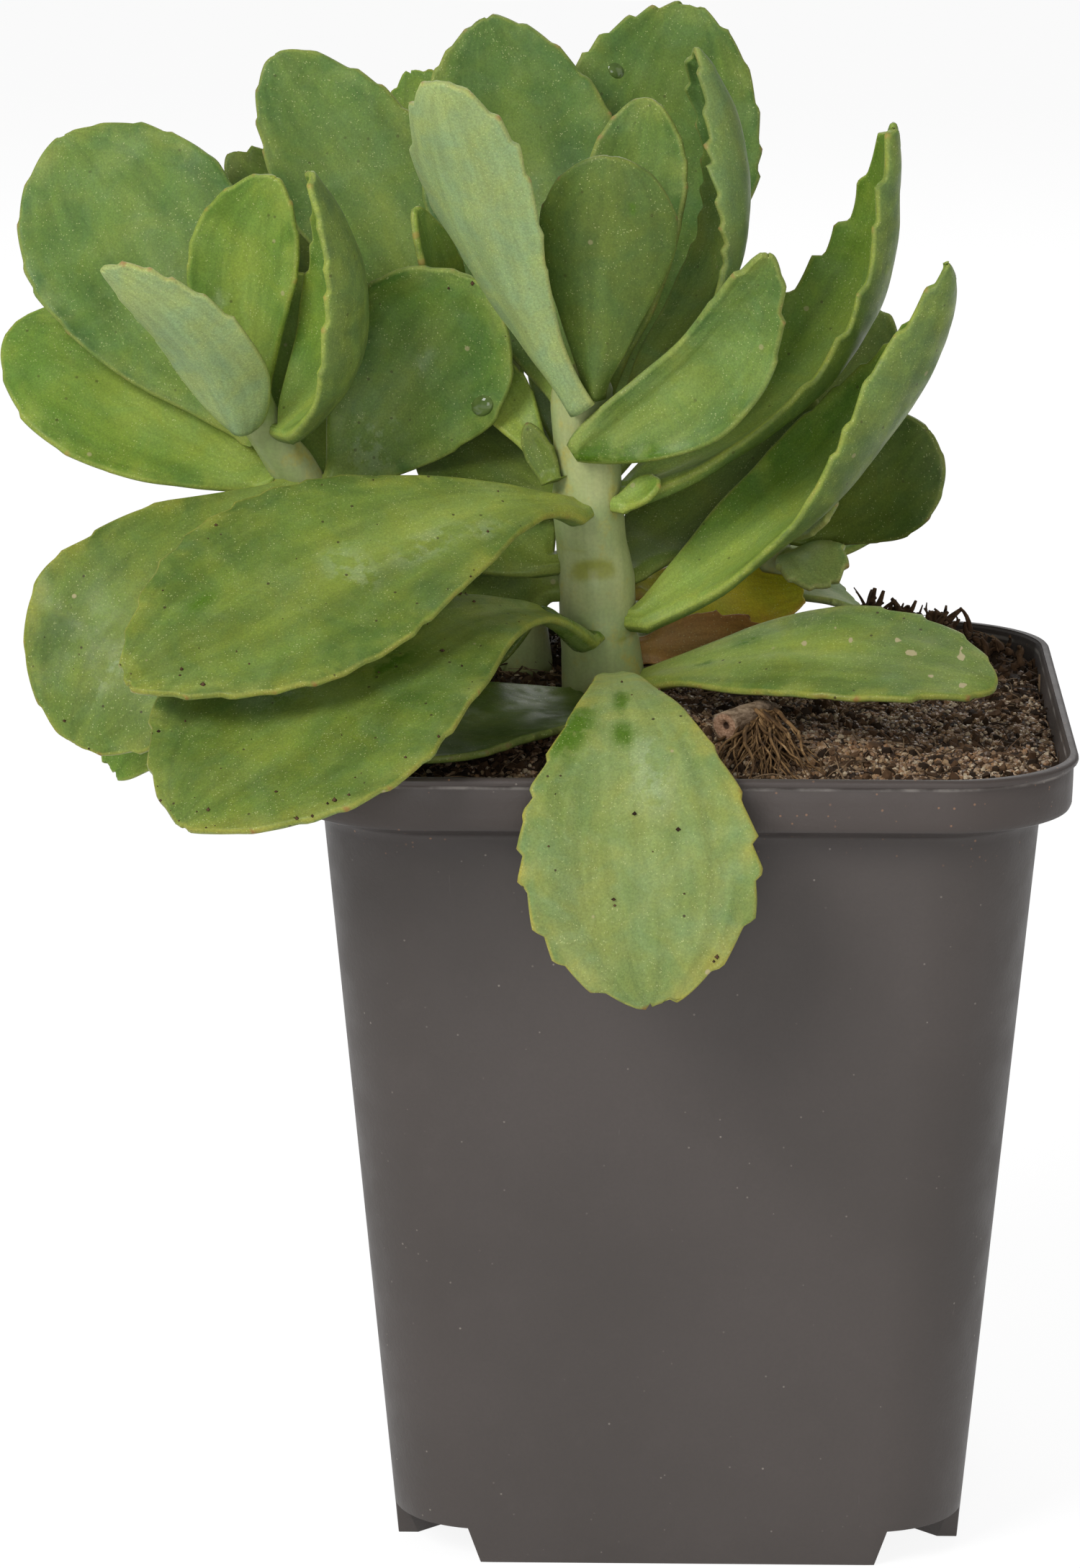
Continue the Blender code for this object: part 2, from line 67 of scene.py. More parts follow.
# ---- pot and soil, mm: the frame's own sizes ----
POT_HEIGHT = 118.0
RIM_HALF = 55.0
BAND_HALF = 54.2
BAND_BOTTOM = 110.4
STEP_BOTTOM = 109.0
BODY_TOP_HALF = 50.0
BODY_BOTTOM_HALF = 40.3
CORNER_RATIO = 0.34
WALL = 1.0
RIM_WALL = 1.4
FLOOR = 1.2
RECESS_HEIGHT = 5.1
FOOT_HALF_BOTTOM = 28.0
FOOT_HALF_TOP = 29.8
NOTCH_SHOULDER = 9.4
NOTCH_REACH = 42.5
DRAIN_RADIUS = 3.0
DRAIN_PLACE = 33.4
SOIL_LEVEL = 115.6
MOUNDS = [(30.0, 44.0, 4.6, 11.0), (8.0, 36.0, 2.2, 12.0), (-12.0, 0.0, 1.6, 13.0),
          (-34.0, 12.0, 1.8, 11.0), (-10.0, 44.0, 2.4, 14.0), (9.5, -22.5, 1.9, 9.0)]

# ---- stems, mm: centre line, radius at the root and at the top ----
Stem = namedtuple("Stem", "path radius_root radius_top")
STEMS = {
    "main": Stem([(-10, 1, 104), (-11.2, 0, 120), (-13, -2, 140), (-14.4, -4, 163)], 6.2, 4.3),
    "left": Stem([(-33, 8, 104), (-37, 8, 120), (-46, 6, 136), (-54, 3, 147), (-60, 0, 157),
                  (-61.8, -0.8, 161)], 4.0, 2.9),
    "back": Stem([(-22, 24, 104), (-24, 22, 125), (-26, 20, 145), (-27, 18, 165)], 4.2, 3.0),
    "right": Stem([(8, 30, 104), (10, 30, 118), (12, 28, 130), (14, 26, 141)], 4.0, 2.8),
}
TWIG_PATH = [(6.0, -28.5, 119.6), (9.0, -23.5, 119.6), (13.0, -16.5, 119.4)]
TWIG_RADIUS = 2.0

# ---- leaves: the frame's own shapes, and how each blade is finished ----
# A leaf grows from the stem that its name begins with. seed draws its random details. pitch and
# notch are the spacing and depth of the margin's teeth in mm, first the place along the blade
# where they begin, ruffle how far the margin waves, thick and edge the flesh in mm, and skin the
# surface.
LEAF_DEFAULTS = {"bow": 0.0, "sweep": 0.0, "peak": 0.5, "cup": 12.0, "tip_cup": None, "lean": 0.0,
                 "twist": 0.0, "belly": 1.4, "fullness": 0.55, "stalk": 3.0, "gap": None,
                 "skin": "fresh", "pitch": 5.5, "notch": 0.8, "first": 0.38, "ruffle": 0.7,
                 "thick": 2.2, "edge": 0.5, "stem": None}
Leaf = namedtuple("Leaf", ["seed", "height", "side", "tip", "width", "facing", *LEAF_DEFAULTS],
                  defaults=LEAF_DEFAULTS.values())
LEAVES = {
    # the rosette on top of the main stem
    "main_top_back_left": Leaf(
        11, 159.8, -160, (-29, 25, 213), 30, (-5, 20), bow=-8, cup=14, stalk=2.6, pitch=5,
        notch=0.5, skin="blue"),
    "main_top_back_right": Leaf(
        12, 156, 155, (0.6, 40, 213.3), 32.2, (10, 15), bow=-8, cup=14, belly=1.8, skin="blue",
        notch=0.7),
    "main_top_left": Leaf(
        13, 162, 0, (-33.5, -24, 209.5), 19.5, (150, 35), sweep=3, cup=25, lean=0.05, belly=2,
        stalk=2.4, gap=2.6, skin="frosty", pitch=7, notch=1),
    "main_top_inner": Leaf(
        14, 161, 150, (-5, 3, 204), 16, (-5, 25), cup=40, belly=1.5, stalk=1.6, gap=1.6, pitch=4.5,
        notch=0.3, skin="blue"),
    "main_top_front": Leaf(
        15, 163.5, 20, (-10, -14, 197.7), 20, (175, 20), cup=25, belly=1.8, stalk=1.8, gap=0.6,
        skin="shade", pitch=6, notch=0.25),
    "main_top_right": Leaf(
        16, 161, 75, (1.5, 4, 211), 21, (-34, 20), bow=-12.5, sweep=2.4, peak=0.64, cup=60,
        tip_cup=90, lean=0.45, twist=-40, belly=1.2, stalk=2, gap=2.9, skin="blue", pitch=4.6,
        notch=1.1),
    "main_right_cup": Leaf(
        17, 155.6, -15, (12, -17, 184.7), 15.6, (25, 5), bow=-2, sweep=3.4, cup=45, tip_cup=35,
        lean=0.58, belly=1, stalk=1.5, gap=2.4, skin="blue", pitch=6, notch=1, first=0.7),
    # long folded leaves to the right
    "main_right_long": Leaf(
        18, 147.5, 90, (29.8, 8, 200), 25, (-50, 35), bow=-16.4, peak=0.58, cup=72, tip_cup=60,
        lean=-0.12, twist=-30, belly=1, gap=1.5, pitch=7, notch=1.5),
    "main_right_low": Leaf(
        19, 129.5, 60, (37.3, -12, 182.3), 28.8, (-30, 45), bow=-11.9, peak=0.68, cup=60,
        tip_cup=65, lean=0.05, twist=-60, belly=1, fullness=0.75, stalk=2.6, gap=1.7, pitch=6,
        notch=0.9),
    "main_right_dark": Leaf(
        20, 135.5, 138, (17, 25, 160), 22.6, (-18, 36), bow=-3, cup=20, belly=1.5, stalk=4.5,
        skin="shade"),
    # leaves that lie over the soil and the rim
    "main_soil_right": Leaf(
        21, 120, 65, (44, -26, 125), 23, (0, 65), bow=5, cup=8, belly=1.5, pitch=6.5, notch=1,
        first=0.5, skin="low"),
    "main_front_hanging": Leaf(
        22, 120.5, 10, (-4, -66, 89), 33, (0, 40), bow=23.2, peak=0.6, cup=8, belly=3.1,
        fullness=0.56, stalk=3.2, skin="hanging", pitch=6, notch=0.9, first=0.45),
    "main_left_upper": Leaf(
        23, 147, -20, (-76, -52, 129.8), 36, (-10, 50), bow=7.2, peak=0.2, cup=10, belly=2.3,
        fullness=0.7, gap=1.7, skin="low", pitch=6, notch=0.9),
    "main_left_lower": Leaf(
        24, 128.5, -20, (-67.6, -64, 113), 44, (-15, 60), bow=12, peak=0.28, cup=10, belly=2.8,
        fullness=0.68, gap=1.8, skin="low", pitch=7, notch=0.7),
    "main_soil_left": Leaf(
        25, 119, -45, (-38, -47, 118.8), 24, (5, 76), bow=0.3, cup=24, belly=1.1, stalk=2.5,
        skin="shade"),
    # small and shaded leaves close to the main stem
    "main_shade_top": Leaf(
        26, 151, -50, (-22.3, -5, 158.5), 4.5, (-30, 35), cup=20, belly=1.3, stalk=1.6, gap=1.8,
        skin="shade"),
    "main_shade_middle": Leaf(
        27, 146.3, -115, (-36, 11, 155), 21, (0, 55), cup=10, stalk=2.6, skin="shade"),
    "main_shade_low": Leaf(
        28, 138, -80, (-36, 9, 147.3), 22, (0, 45), cup=10, belly=1.2, stalk=2.6, gap=2.3,
        skin="shade"),
    "main_shade_deep": Leaf(58, 135, -95, (-38, 1, 127), 19, (-10, 15), gap=1.9, skin="shade"),
    "main_bud_left": Leaf(
        29, 154, -98, (-29.4, 8, 166), 8.2, (-10, 35), cup=15, stalk=1.8, gap=2.2, pitch=3,
        notch=0.3),
    "main_bud_right": Leaf(
        30, 147, 50, (-3, -8, 150.8), 5, (0, 50), cup=25, belly=1.3, stalk=1.8, gap=1.3, pitch=3,
        notch=0.3),
    "main_yellow": Leaf(
        31, 132, 134, (18, 22, 129.2), 12.8, (0, 42), bow=-2.2, cup=10, stalk=2.4, gap=2,
        skin="yellow", pitch=5, notch=1, ruffle=1.4, thick=1.4, edge=0.3),
    "main_withered": Leaf(
        32, 123.2, 112, (14, 6, 123.8), 11.2, (0, 36), bow=0.8, cup=10, stalk=2.2, skin="dry",
        pitch=4, notch=1.3, ruffle=2.2, thick=0.8, edge=0.2),
    # the far side of the main stem
    "main_rear_low": Leaf(
        33, 119, 165, (-6, 60, 124), 28, (0, 80), bow=7, cup=10, belly=1.6, skin="low"),
    "main_rear_high": Leaf(34, 146, 185, (-8, 48, 182), 26, (-5, 45), bow=-5, cup=14, belly=1.5),
    # the leaning left stem
    "left_outer_low": Leaf(
        35, 150.8, -95, (-97.6, 13, 168.9), 27.2, (0, 40), bow=1, belly=1.35, gap=1.9, pitch=7,
        notch=0.45),
    "left_outer_high": Leaf(
        36, 155.2, -150, (-90, 21, 196.1), 33, (0, 25), bow=1.4, cup=10, belly=1.45, skin="blue",
        pitch=6, notch=0.4),
    "left_front": Leaf(
        37, 159, -30, (-81.4, -18, 182.3), 13.5, (170, 35), sweep=-4.2, cup=20, belly=0.85,
        stalk=2.4, skin="frosty", pitch=4.6, notch=0.6),
    "left_inner": Leaf(
        38, 159.6, 170, (-57.8, -0.3, 192.8), 17.5, (-15, 15), sweep=-3.4, cup=32, belly=1.3,
        stalk=2, pitch=5, notch=0.3),
    "left_folded": Leaf(
        39, 156.5, 31, (-52.3, -17.8, 195.6), 27.6, (-70, 25), bow=-9.5, peak=0.38, cup=64,
        belly=0.85, stalk=2, gap=2.2, pitch=6, notch=0.7),
    "left_hanging": Leaf(
        40, 149.4, -30, (-85.5, -26, 115.8), 34, (-10, 35), bow=8, belly=1.7, stalk=2.6, pitch=7,
        notch=0.5, skin="low"),
    "left_hanging_rear": Leaf(
        41, 142.7, -70, (-82, -6, 107), 20, (-10, 35), bow=5, stalk=2.6, notch=1),
    "left_round": Leaf(
        42, 146, 80, (-29.3, -2.5, 178.4), 27, (5, 20), bow=-3, stalk=2.6, gap=1.4, skin="deep",
        pitch=6.5, notch=0.6),
    "left_rear_high": Leaf(
        43, 138, 180, (-57, 20, 176), 24, (0, 30), bow=-2, cup=14, belly=1.5, stalk=2.6),
    "left_rear_low": Leaf(
        44, 128, -100, (-86, 20, 128), 22, (20, 70), bow=3, cup=10, belly=1.5, stalk=2.6,
        skin="low"),
    # the stem behind
    "back_high": Leaf(
        45, 161.6, -150, (-60, 32, 206.6), 23, (-5, 20), cup=10, skin="blue", pitch=6, notch=0.4),
    "back_middle": Leaf(
        46, 154, -120, (-67, 34, 191.5), 20, (-5, 30), cup=10, stalk=2.6, gap=1.5, skin="shade"),
    "back_small": Leaf(
        47, 158.6, -50, (-38.5, 4, 187.9), 11, (60, 20), cup=40, belly=1.3, stalk=1.8, gap=1.8,
        notch=0.3),
    "back_tall": Leaf(48, 157, 165, (-41, 52, 202), 20, (-5, 20), cup=10, stalk=2.6),
    "back_rear_left": Leaf(
        49, 122, -150, (-52, 60, 118.5), 28, (0, 80), bow=8, cup=10, belly=1.6, skin="low"),
    "back_rear_middle": Leaf(50, 134, 175, (-24, 68, 148), 26, (0, 60), bow=-3, cup=14, belly=1.5),
    "back_side_left": Leaf(51, 130, -120, (-64, 56, 140), 26, (40, 60), bow=-3, cup=14, belly=1.5),
    # the short stem at the right
    "right_round": Leaf(
        52, 137, 85, (35.8, 20, 153.2), 20.5, (0, 20), cup=10, belly=1.5, stalk=2.4, gap=2.1,
        skin="shade", notch=0.4),
    "right_upright": Leaf(53, 139.5, 170, (28.6, 46, 167.6), 20, (-30, 20), cup=14, skin="shade"),
    "right_bud": Leaf(
        54, 138.4, 5, (22.5, 9.5, 147), 9, (0, 30), cup=14, stalk=1.6, gap=1.5, skin="frosty",
        pitch=3, notch=0.4),
    "right_curled": Leaf(
        55, 134.4, 48, (21.8, 13, 131.8), 10.5, (0, 55), bow=2, cup=14, stalk=1.8, gap=1.5,
        skin="frosty", pitch=3.5, ruffle=1.2),
    "right_soil": Leaf(
        56, 127, 110, (26, 34, 125), 13, (0, 75), bow=1, cup=14, stalk=2, skin="frosty"),
    "right_rear": Leaf(57, 132, 130, (33.5, 60, 149), 22, (0, 45), bow=-3, cup=14, belly=1.5),
}
LEAVES = {name: lf._replace(stem=name.split("_")[0]) for name, lf in LEAVES.items()}

BLADE_ROWS = 84                 # quads from the stalk to the tip
BLADE_COLUMNS = 26              # quads from margin to margin
BLADE_STOP = 0.9985
INSET_ROWS = 3                  # rows of the blade that run on into the stem


# ==== small helpers ====
def unit(v):
    return v / np.linalg.norm(v, axis=-1, keepdims=True)


def square_to(axis, v):
    """The part of v at right angles to a unit axis, made one long."""
    return unit(v - axis * v.dot(axis))


def around(a, b, sides):
    """Angles once round, and the unit vectors that turn with them from a towards b."""
    for k in range(sides):
        turn = tau * k / sides
        yield turn, a * cos(turn) + b * sin(turn)


def smooth(low, high, x):
    """0 below low, 1 above high, and an S curve between."""
    s = np.clip((x - low) / (high - low), 0.0, 1.0)
    return s * s * (3 - 2 * s)


def direction(turn, tilt):
    """Unit vector: turn 0 looks to the front (-Y), 90 to the right (+X); tilt is upwards."""
    a, e = radians(turn), radians(tilt)
    return np.array([sin(a) * cos(e), -cos(a) * cos(e), sin(e)])


def rough(place, size, seed=0.0):
    """Smooth noise from -1 to 1 at a place in mm, with bumps about size mm across."""
    return noise.noise(Vector(place) / size + Vector((seed, -seed, 2 * seed)))


def rough_all(places, size, seed=0.0):
    return np.array([rough(p, size, seed) for p in places])


def tune(thing, **settings):
    """Sets several properties of a thing."""
    for key, value in settings.items():
        setattr(thing, key, value)
    return thing


def add_object(name, data):
    thing = bpy.data.objects.new(name, data)
    bpy.context.scene.collection.objects.link(thing)
    return thing


def mesh_of(bm, name):
    """A mesh from a finished bmesh, which is freed."""
    mesh = bpy.data.meshes.new(name)
    bm.to_mesh(mesh)
    bm.free()
    return mesh


def new_piece(name, vertices, faces, material, **fields):
    """A mesh object at the origin from vertices in mm, with a number a vertex in each field."""
    mesh = bpy.data.meshes.new(name)
    mesh.from_pydata((np.asarray(vertices) * MM).tolist(), [], faces)
    mesh.update()
    mesh.shade_smooth()
    mesh.materials.append(material)
    return paint_points(add_object(name, mesh), **fields)


def tube_faces(rings, sides, first=0, clockwise=False):
    """Faces of a closed tube whose rings of vertices are numbered on from first."""
    last = first + (rings - 1) * sides
    faces = []
    for low in range(first, last, sides):
        for k in range(sides):
            n = (k + 1) % sides
            faces.append((low + k, low + n, low + sides + n, low + sides + k))
    ends = [tuple(range(first, first + sides))[::-1], tuple(range(last, last + sides))]
    if clockwise:
        faces = [(a, d, c, b) for a, b, c, d in faces]
        ends = [end[::-1] for end in ends]
    return faces + ends


def grid_faces(index):
    """Quads over a grid of vertex numbers."""
    corners = index[:-1, :-1], index[:-1, 1:], index[1:, 1:], index[1:, :-1]
    return np.stack([corner.reshape(-1) for corner in corners], axis=1).tolist()


def wander(draw, *spans):
    """A vector with one random number from each span."""
    return np.array([draw.uniform(low, high) for low, high in spans])


def paint_points(piece, **fields):
    """Stores one number a vertex under each name, for the materials to read."""
    for name, values in fields.items():
        layer = piece.data.attributes.new(name, "FLOAT", "POINT")
        layer.data.foreach_set("value", np.asarray(values, np.float32))
    return piece


def settle(piece, node):
    """Hangs a finished piece on the frame's body and hides the part of the frame that it replaces.
    """
    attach(piece, BODY)
    if node:
        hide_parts(node)
    return piece


# ==== materials ====
def add_node(tree, kind, inputs=(), **settings):
    """A node with its options set, then its inputs, each by a value or another node's socket."""
    node = tune(tree.nodes.new(kind), **settings)
    for key, value in dict(inputs).items():
        set_input(tree, node.inputs[key], value)
    return node


def set_input(tree, socket, value):
    if isinstance(value, bpy.types.NodeSocket):
        tree.links.new(value, socket)
    elif isinstance(value, tuple) and len(value) == 3 and socket.type == "RGBA":
        socket.default_value = (*value, 1.0)
    else:
        socket.default_value = value


class Finish:
    """One material, built up by short calls that add its nodes: colour first, then relief."""

    def __init__(self, name, **constants):
        self.mat = bpy.data.materials.new(name)
        self.mat.use_nodes = True
        self.tree = self.mat.node_tree
        self.shader = self.tree.nodes["Principled BSDF"]
        for socket, value in constants.items():
            self.shader.inputs[socket.replace("_", " ")].default_value = value
        self.place = self.add("TexCoord").outputs["Object"]
        self.colour = self.relief = None

    def add(self, kind, inputs=(), **settings):
        return add_node(self.tree, "ShaderNode" + kind, inputs, **settings)

    def field(self, name):
        """A number that the piece holds for every vertex."""
        return self.add("Attribute", attribute_name=name).outputs["Fac"]

    def stretched(self, scale):
        return self.add("Mapping", {"Vector": self.place, "Scale": scale}).outputs["Vector"]

    def cloud(self, size, detail=2.0, roughness=0.5, warp=0.0, vector=None):
        """Noise from 0 to 1 with features about size mm across."""
        return self.add("TexNoise", {
            "Vector": vector or self.place, "Scale": 1.0 / (size * MM), "Detail": detail,
            "Roughness": roughness, "Distortion": warp}).outputs["Fac"]

    def dots(self, size, near, far, pick=None):
        """1 at scattered points about size mm apart, fading out from near to far; pick keeps
        only the points whose random number passes it."""
        node = self.add("TexVoronoi", {"Vector": self.place, "Scale": 1.0 / (size * MM)})
        spot = self.span(node.outputs["Distance"], far, near)
        return self.times(spot, self.span(node.outputs["Color"], *pick)) if pick else spot

    def span(self, value, low, high, start=0.0, end=1.0):
        """Value's stretch from low to high, as an S curve from start to end."""
        inputs = enumerate((value, low, high, start, end))
        return self.add("MapRange", inputs, interpolation_type="SMOOTHSTEP").outputs["Result"]

    def maths(self, operation, a, b=0.5):
        return self.add("Math", {0: a, 1: b}, operation=operation).outputs[0]

    def times(self, *shares):
        """Product of shares: numbers, sockets, or tuples that hold what span asks for."""
        shares = [self.span(*s) if isinstance(s, tuple) else s for s in shares]
        total = shares[0]
        for share in shares[1:]:
            total = self.maths("MULTIPLY", total, share)
        return total

    def mix(self, share, first, second, blend="MIX"):
        return self.add("Mix", {0: self.times(share), 6: first, 7: second}, data_type="RGBA",
                        blend_type=blend, clamp_factor=True).outputs[2]

    def coat(self, tint, *shares, blend="MIX"):
        """Lays a tint over the colour so far."""
        self.colour = self.mix(self.times(*shares), self.colour, tint, blend)

    def mottled(self, colour, cloud, dark, light):
        """A colour made darker and lighter by a cloud."""
        return self.mix(1.0, colour, self.span(cloud, 0.28, 0.72, dark, light), "MULTIPLY")

    def bump(self, height, strength, depth):
        """Adds depth mm to the relief so far."""
        inputs = {"Height": height, "Strength": strength, "Distance": depth * MM}
        if self.relief is not None:
            inputs["Normal"] = self.relief
        self.relief = self.add("Bump", inputs).outputs["Normal"]

    def finish(self, roughness=None):
        sockets = {"Base Color": self.colour, "Roughness": roughness, "Normal": self.relief}
        for name, value in sockets.items():
            if value is not None:
                set_input(self.tree, self.shader.inputs[name], value)
        return self.mat


# upper and mottle make the green of the upper face, pale its middle band, rim the margin, tip the
# teeth, under the lower face; bloom is the share of wax, speck the share of dirt and cork, wet how
# glossy it is.
Skin = namedtuple("Skin", "upper mottle pale rim tip under bloom speck wet")
SKINS = {
    "fresh": Skin(
        (0.098, 0.182, 0.022), (0.148, 0.236, 0.032), (0.27, 0.35, 0.066), (0.31, 0.35, 0.064),
        (0.32, 0.24, 0.06), (0.125, 0.182, 0.05), 0.06, 0.5, 0.3),
    "blue": Skin(
        (0.076, 0.146, 0.03), (0.12, 0.196, 0.036), (0.215, 0.29, 0.06), (0.27, 0.3, 0.07),
        (0.3, 0.19, 0.07), (0.15, 0.215, 0.07), 0.12, 0.4, 0.2),
    "frosty": Skin(
        (0.19, 0.29, 0.08), (0.25, 0.34, 0.09), (0.33, 0.4, 0.13), (0.42, 0.43, 0.13),
        (0.33, 0.19, 0.07), (0.27, 0.35, 0.155), 0.24, 0.3, 0.2),
    "deep": Skin(
        (0.07, 0.14, 0.02), (0.105, 0.18, 0.026), (0.17, 0.24, 0.05), (0.3, 0.35, 0.08),
        (0.3, 0.25, 0.08), (0.18, 0.26, 0.09), 0.12, 0.5, 0.5),
    "low": Skin(
        (0.09, 0.142, 0.024), (0.14, 0.196, 0.03), (0.27, 0.325, 0.062), (0.33, 0.32, 0.06),
        (0.28, 0.13, 0.045), (0.18, 0.25, 0.08), 0.1, 0.8, 0.4),
    "hanging": Skin(
        (0.16, 0.222, 0.062), (0.215, 0.258, 0.072), (0.29, 0.33, 0.1), (0.42, 0.35, 0.06),
        (0.23, 0.09, 0.03), (0.23, 0.31, 0.11), 0.26, 0.9, 0.2),
    # painted shade: a darker copy of the leaf greens, with little wax, for the leaves that sit in
    # the plant's own shade
    "shade": Skin(
        (0.052, 0.088, 0.012), (0.076, 0.116, 0.015), (0.15, 0.2, 0.035), (0.19, 0.22, 0.05),
        (0.18, 0.11, 0.045), (0.095, 0.145, 0.03), 0.04, 0.4, 0.5),
    "yellow": Skin(
        (0.42, 0.38, 0.012), (0.46, 0.36, 0.014), (0.4, 0.36, 0.045), (0.4, 0.18, 0.045),
        (0.2, 0.07, 0.03), (0.32, 0.31, 0.05), 0.02, 0.8, 0.4),
    "dry": Skin(
        (0.23, 0.105, 0.014), (0.12, 0.045, 0.008), (0.36, 0.21, 0.07), (0.33, 0.15, 0.05),
        (0.08, 0.03, 0.012), (0.22, 0.11, 0.04), 0.0, 0.9, 0.3),
}
WAXY_BLOOM = (0.31, 0.41, 0.19)
# colour of the painted glints on the leaves
PAINTED_GLINT = (0.62, 0.65, 0.3)
CORKY_SPOT = (0.4, 0.34, 0.19)
SOIL_STAIN = (0.04, 0.022, 0.01)
LIME_FILM = (0.46, 0.54, 0.4)
BRUISE = (0.075, 0.15, 0.012)
COOL_HUE = (0.74, 0.92, 1.06)
WARM_HUE = (1.07, 1.02, 0.74)


def leaf_skin(name):
    """Fleshy leaf: veined and mottled green, pale down the middle, yellow rim, waxy under."""
    skin = SKINS[name]
    f = Finish(name + " leaf", Subsurface_Weight=0.14, Subsurface_Scale=0.002,
               Subsurface_Radius=(0.5, 1.0, 0.2), Specular_IOR_Level=0.22, IOR=1.45)
    across, along, rim = f.field("across"), f.field("along"), f.field("rim")
    fanned = f.add("CombineXYZ", {0: f.times(f.field("fan"), 0.014), 1: f.times(along, 0.008),
                                  2: f.times(f.field("draw"), 0.013)}).outputs[0]
    broad, patch = f.cloud(9.0, 3.0, 0.55, 0.5), f.cloud(4.2, 4.0, 0.62, 0.4)
    medium, grain = f.cloud(1.5, 3.0, 0.6), f.cloud(0.3, 2.0, 0.7)
    veins = f.cloud(2.4, 3.0, 0.55, 0.3, fanned)
    f.colour = f.mix((broad, 0.36, 0.66), skin.upper, skin.mottle)
    f.colour = f.mottled(f.colour, veins, 0.84, 1.13)
    middle = f.maths("POWER", 2.718, f.times(f.maths("POWER", f.maths("ABSOLUTE", across), 1.7),
                                             -0.06))
    middle = f.times(middle, (along, 0.35, 1.0, 1.0, 0.2), (veins, 0.2, 0.7, 0.65))
    f.coat(skin.pale, middle, 0.9)
    f.coat(skin.pale, (along, 0.2, 0.0, 0.0, 0.6))
    f.coat(skin.rim, (rim, 4.0, 0.5), (broad, 0.4, 0.7, 0.0, 0.45))
    f.coat(WAXY_BLOOM, (f.cloud(6.0, 4.0, 0.66, 0.8), 0.4, 0.72), skin.bloom)
    below = f.mix((patch, 0.35, 0.7, 0.0, 0.45), skin.under, skin.pale)
    f.coat(f.mottled(below, veins, 0.89, 1.09), (f.field("under"), 0.42, 0.58))
    ragged = f.maths("ADD", patch, f.times(medium, 0.5))
    f.coat(f.mix((f.cloud(6.5, 3.0, 0.58, 0.8), 0.34, 0.66), COOL_HUE, WARM_HUE), 0.42,
           blend="MULTIPLY")
    f.coat(LIME_FILM, f.field("film"), (ragged, 0.68, 0.82), 0.17)
    f.coat(BRUISE, f.field("bruise"), (ragged, 0.6, 0.78, 0.25, 1.0))
    f.coat(skin.rim, (rim, 0.62, 0.1), (patch, 0.32, 0.62, 0.2, 0.62))
    f.coat(skin.tip, (rim, 0.2, 0.0), (patch, 0.55, 0.7, 0.0, 0.35))
    f.colour = f.mottled(f.colour, grain, 0.84, 1.12)
    # painted highlights: tiny pale glints scattered in patches over the leaf's colour
    spark = f.times(f.dots(0.6, 0.12, 0.24, (0.6, 0.66)), (patch, 0.42, 0.6, 0.15, 0.85))
    f.coat(PAINTED_GLINT, spark, 0.36)
    glitter = f.times(f.dots(0.34, 0.16, 0.3, (0.62, 0.7)), (patch, 0.36, 0.58, 0.25, 1.0))
    f.coat(PAINTED_GLINT, glitter, 0.42)
    cork = f.times(f.dots(6.0, 0.05, 0.08, (0.6, 0.62)), skin.speck)
    cork = f.maths("MAXIMUM", cork, f.span(f.field("cork"), 0.45, 0.65, 0.0, 0.9))
    f.coat(CORKY_SPOT, cork)
    tooth = f.maths("SUBTRACT", f.field("tooth"), f.span(medium, 0.5, 0.75, 0.0, 0.4))
    f.coat(skin.tip, (tooth, 0.35, 0.85, 0.0, 0.8))
    f.coat(SOIL_STAIN, f.dots(2.6, 0.065, 0.11, (0.56, 0.58)), skin.speck)
    gloss = f.span(f.cloud(4.0, 3.0, 0.6), 0.35, 0.7, 0.46 - 0.2 * skin.wet, 0.58)
    f.bump(patch, 0.22, 0.4)
    f.bump(veins, 0.15, 0.12)
    f.bump(grain, 0.4, 0.045)
    return f.finish(f.maths("SUBTRACT", gloss, f.times(f.field("bruise"), 0.25)))


def stem_skin():
    """Pale fleshy stem with yellow patches, faint lengthwise streaks and leaf scars."""
    f = Finish("stem skin", Subsurface_Weight=0.22, Subsurface_Scale=0.003,
               Subsurface_Radius=(0.8, 1.0, 0.4), Specular_IOR_Level=0.4)
    scar = f.field("scar")
    broad, fine = f.cloud(9.0, 3.0), f.cloud(0.5, 2.0)
    streak = f.cloud(1.3, 2.0, vector=f.stretched((1.0, 1.0, 0.1)))
    f.colour = f.mix((broad, 0.35, 0.7), (0.3, 0.37, 0.15), (0.4, 0.43, 0.19))
    f.coat((0.43, 0.37, 0.08), (f.cloud(5.0, 4.0, 0.65), 0.51, 0.68, 0.0, 0.8))
    f.coat((0.21, 0.27, 0.1), (streak, 0.35, 0.7, 0.0, 0.25))
    f.coat((0.2, 0.19, 0.07), (f.field("low"), 0.0, 1.0, 0.0, 0.45))
    f.coat((0.25, 0.27, 0.035), (scar, 0.2, 0.8, 0.0, 0.85))
    f.coat((0.1, 0.11, 0.04), (fine, 0.3, 0.7, 0.15, 0.0))
    f.bump(streak, 0.3, 0.25)
    f.bump(fine, 0.25, 0.05)
    return f.finish(f.maths("SUBTRACT", f.span(broad, 0.3, 0.7, 0.42, 0.58), f.times(scar, 0.2)))


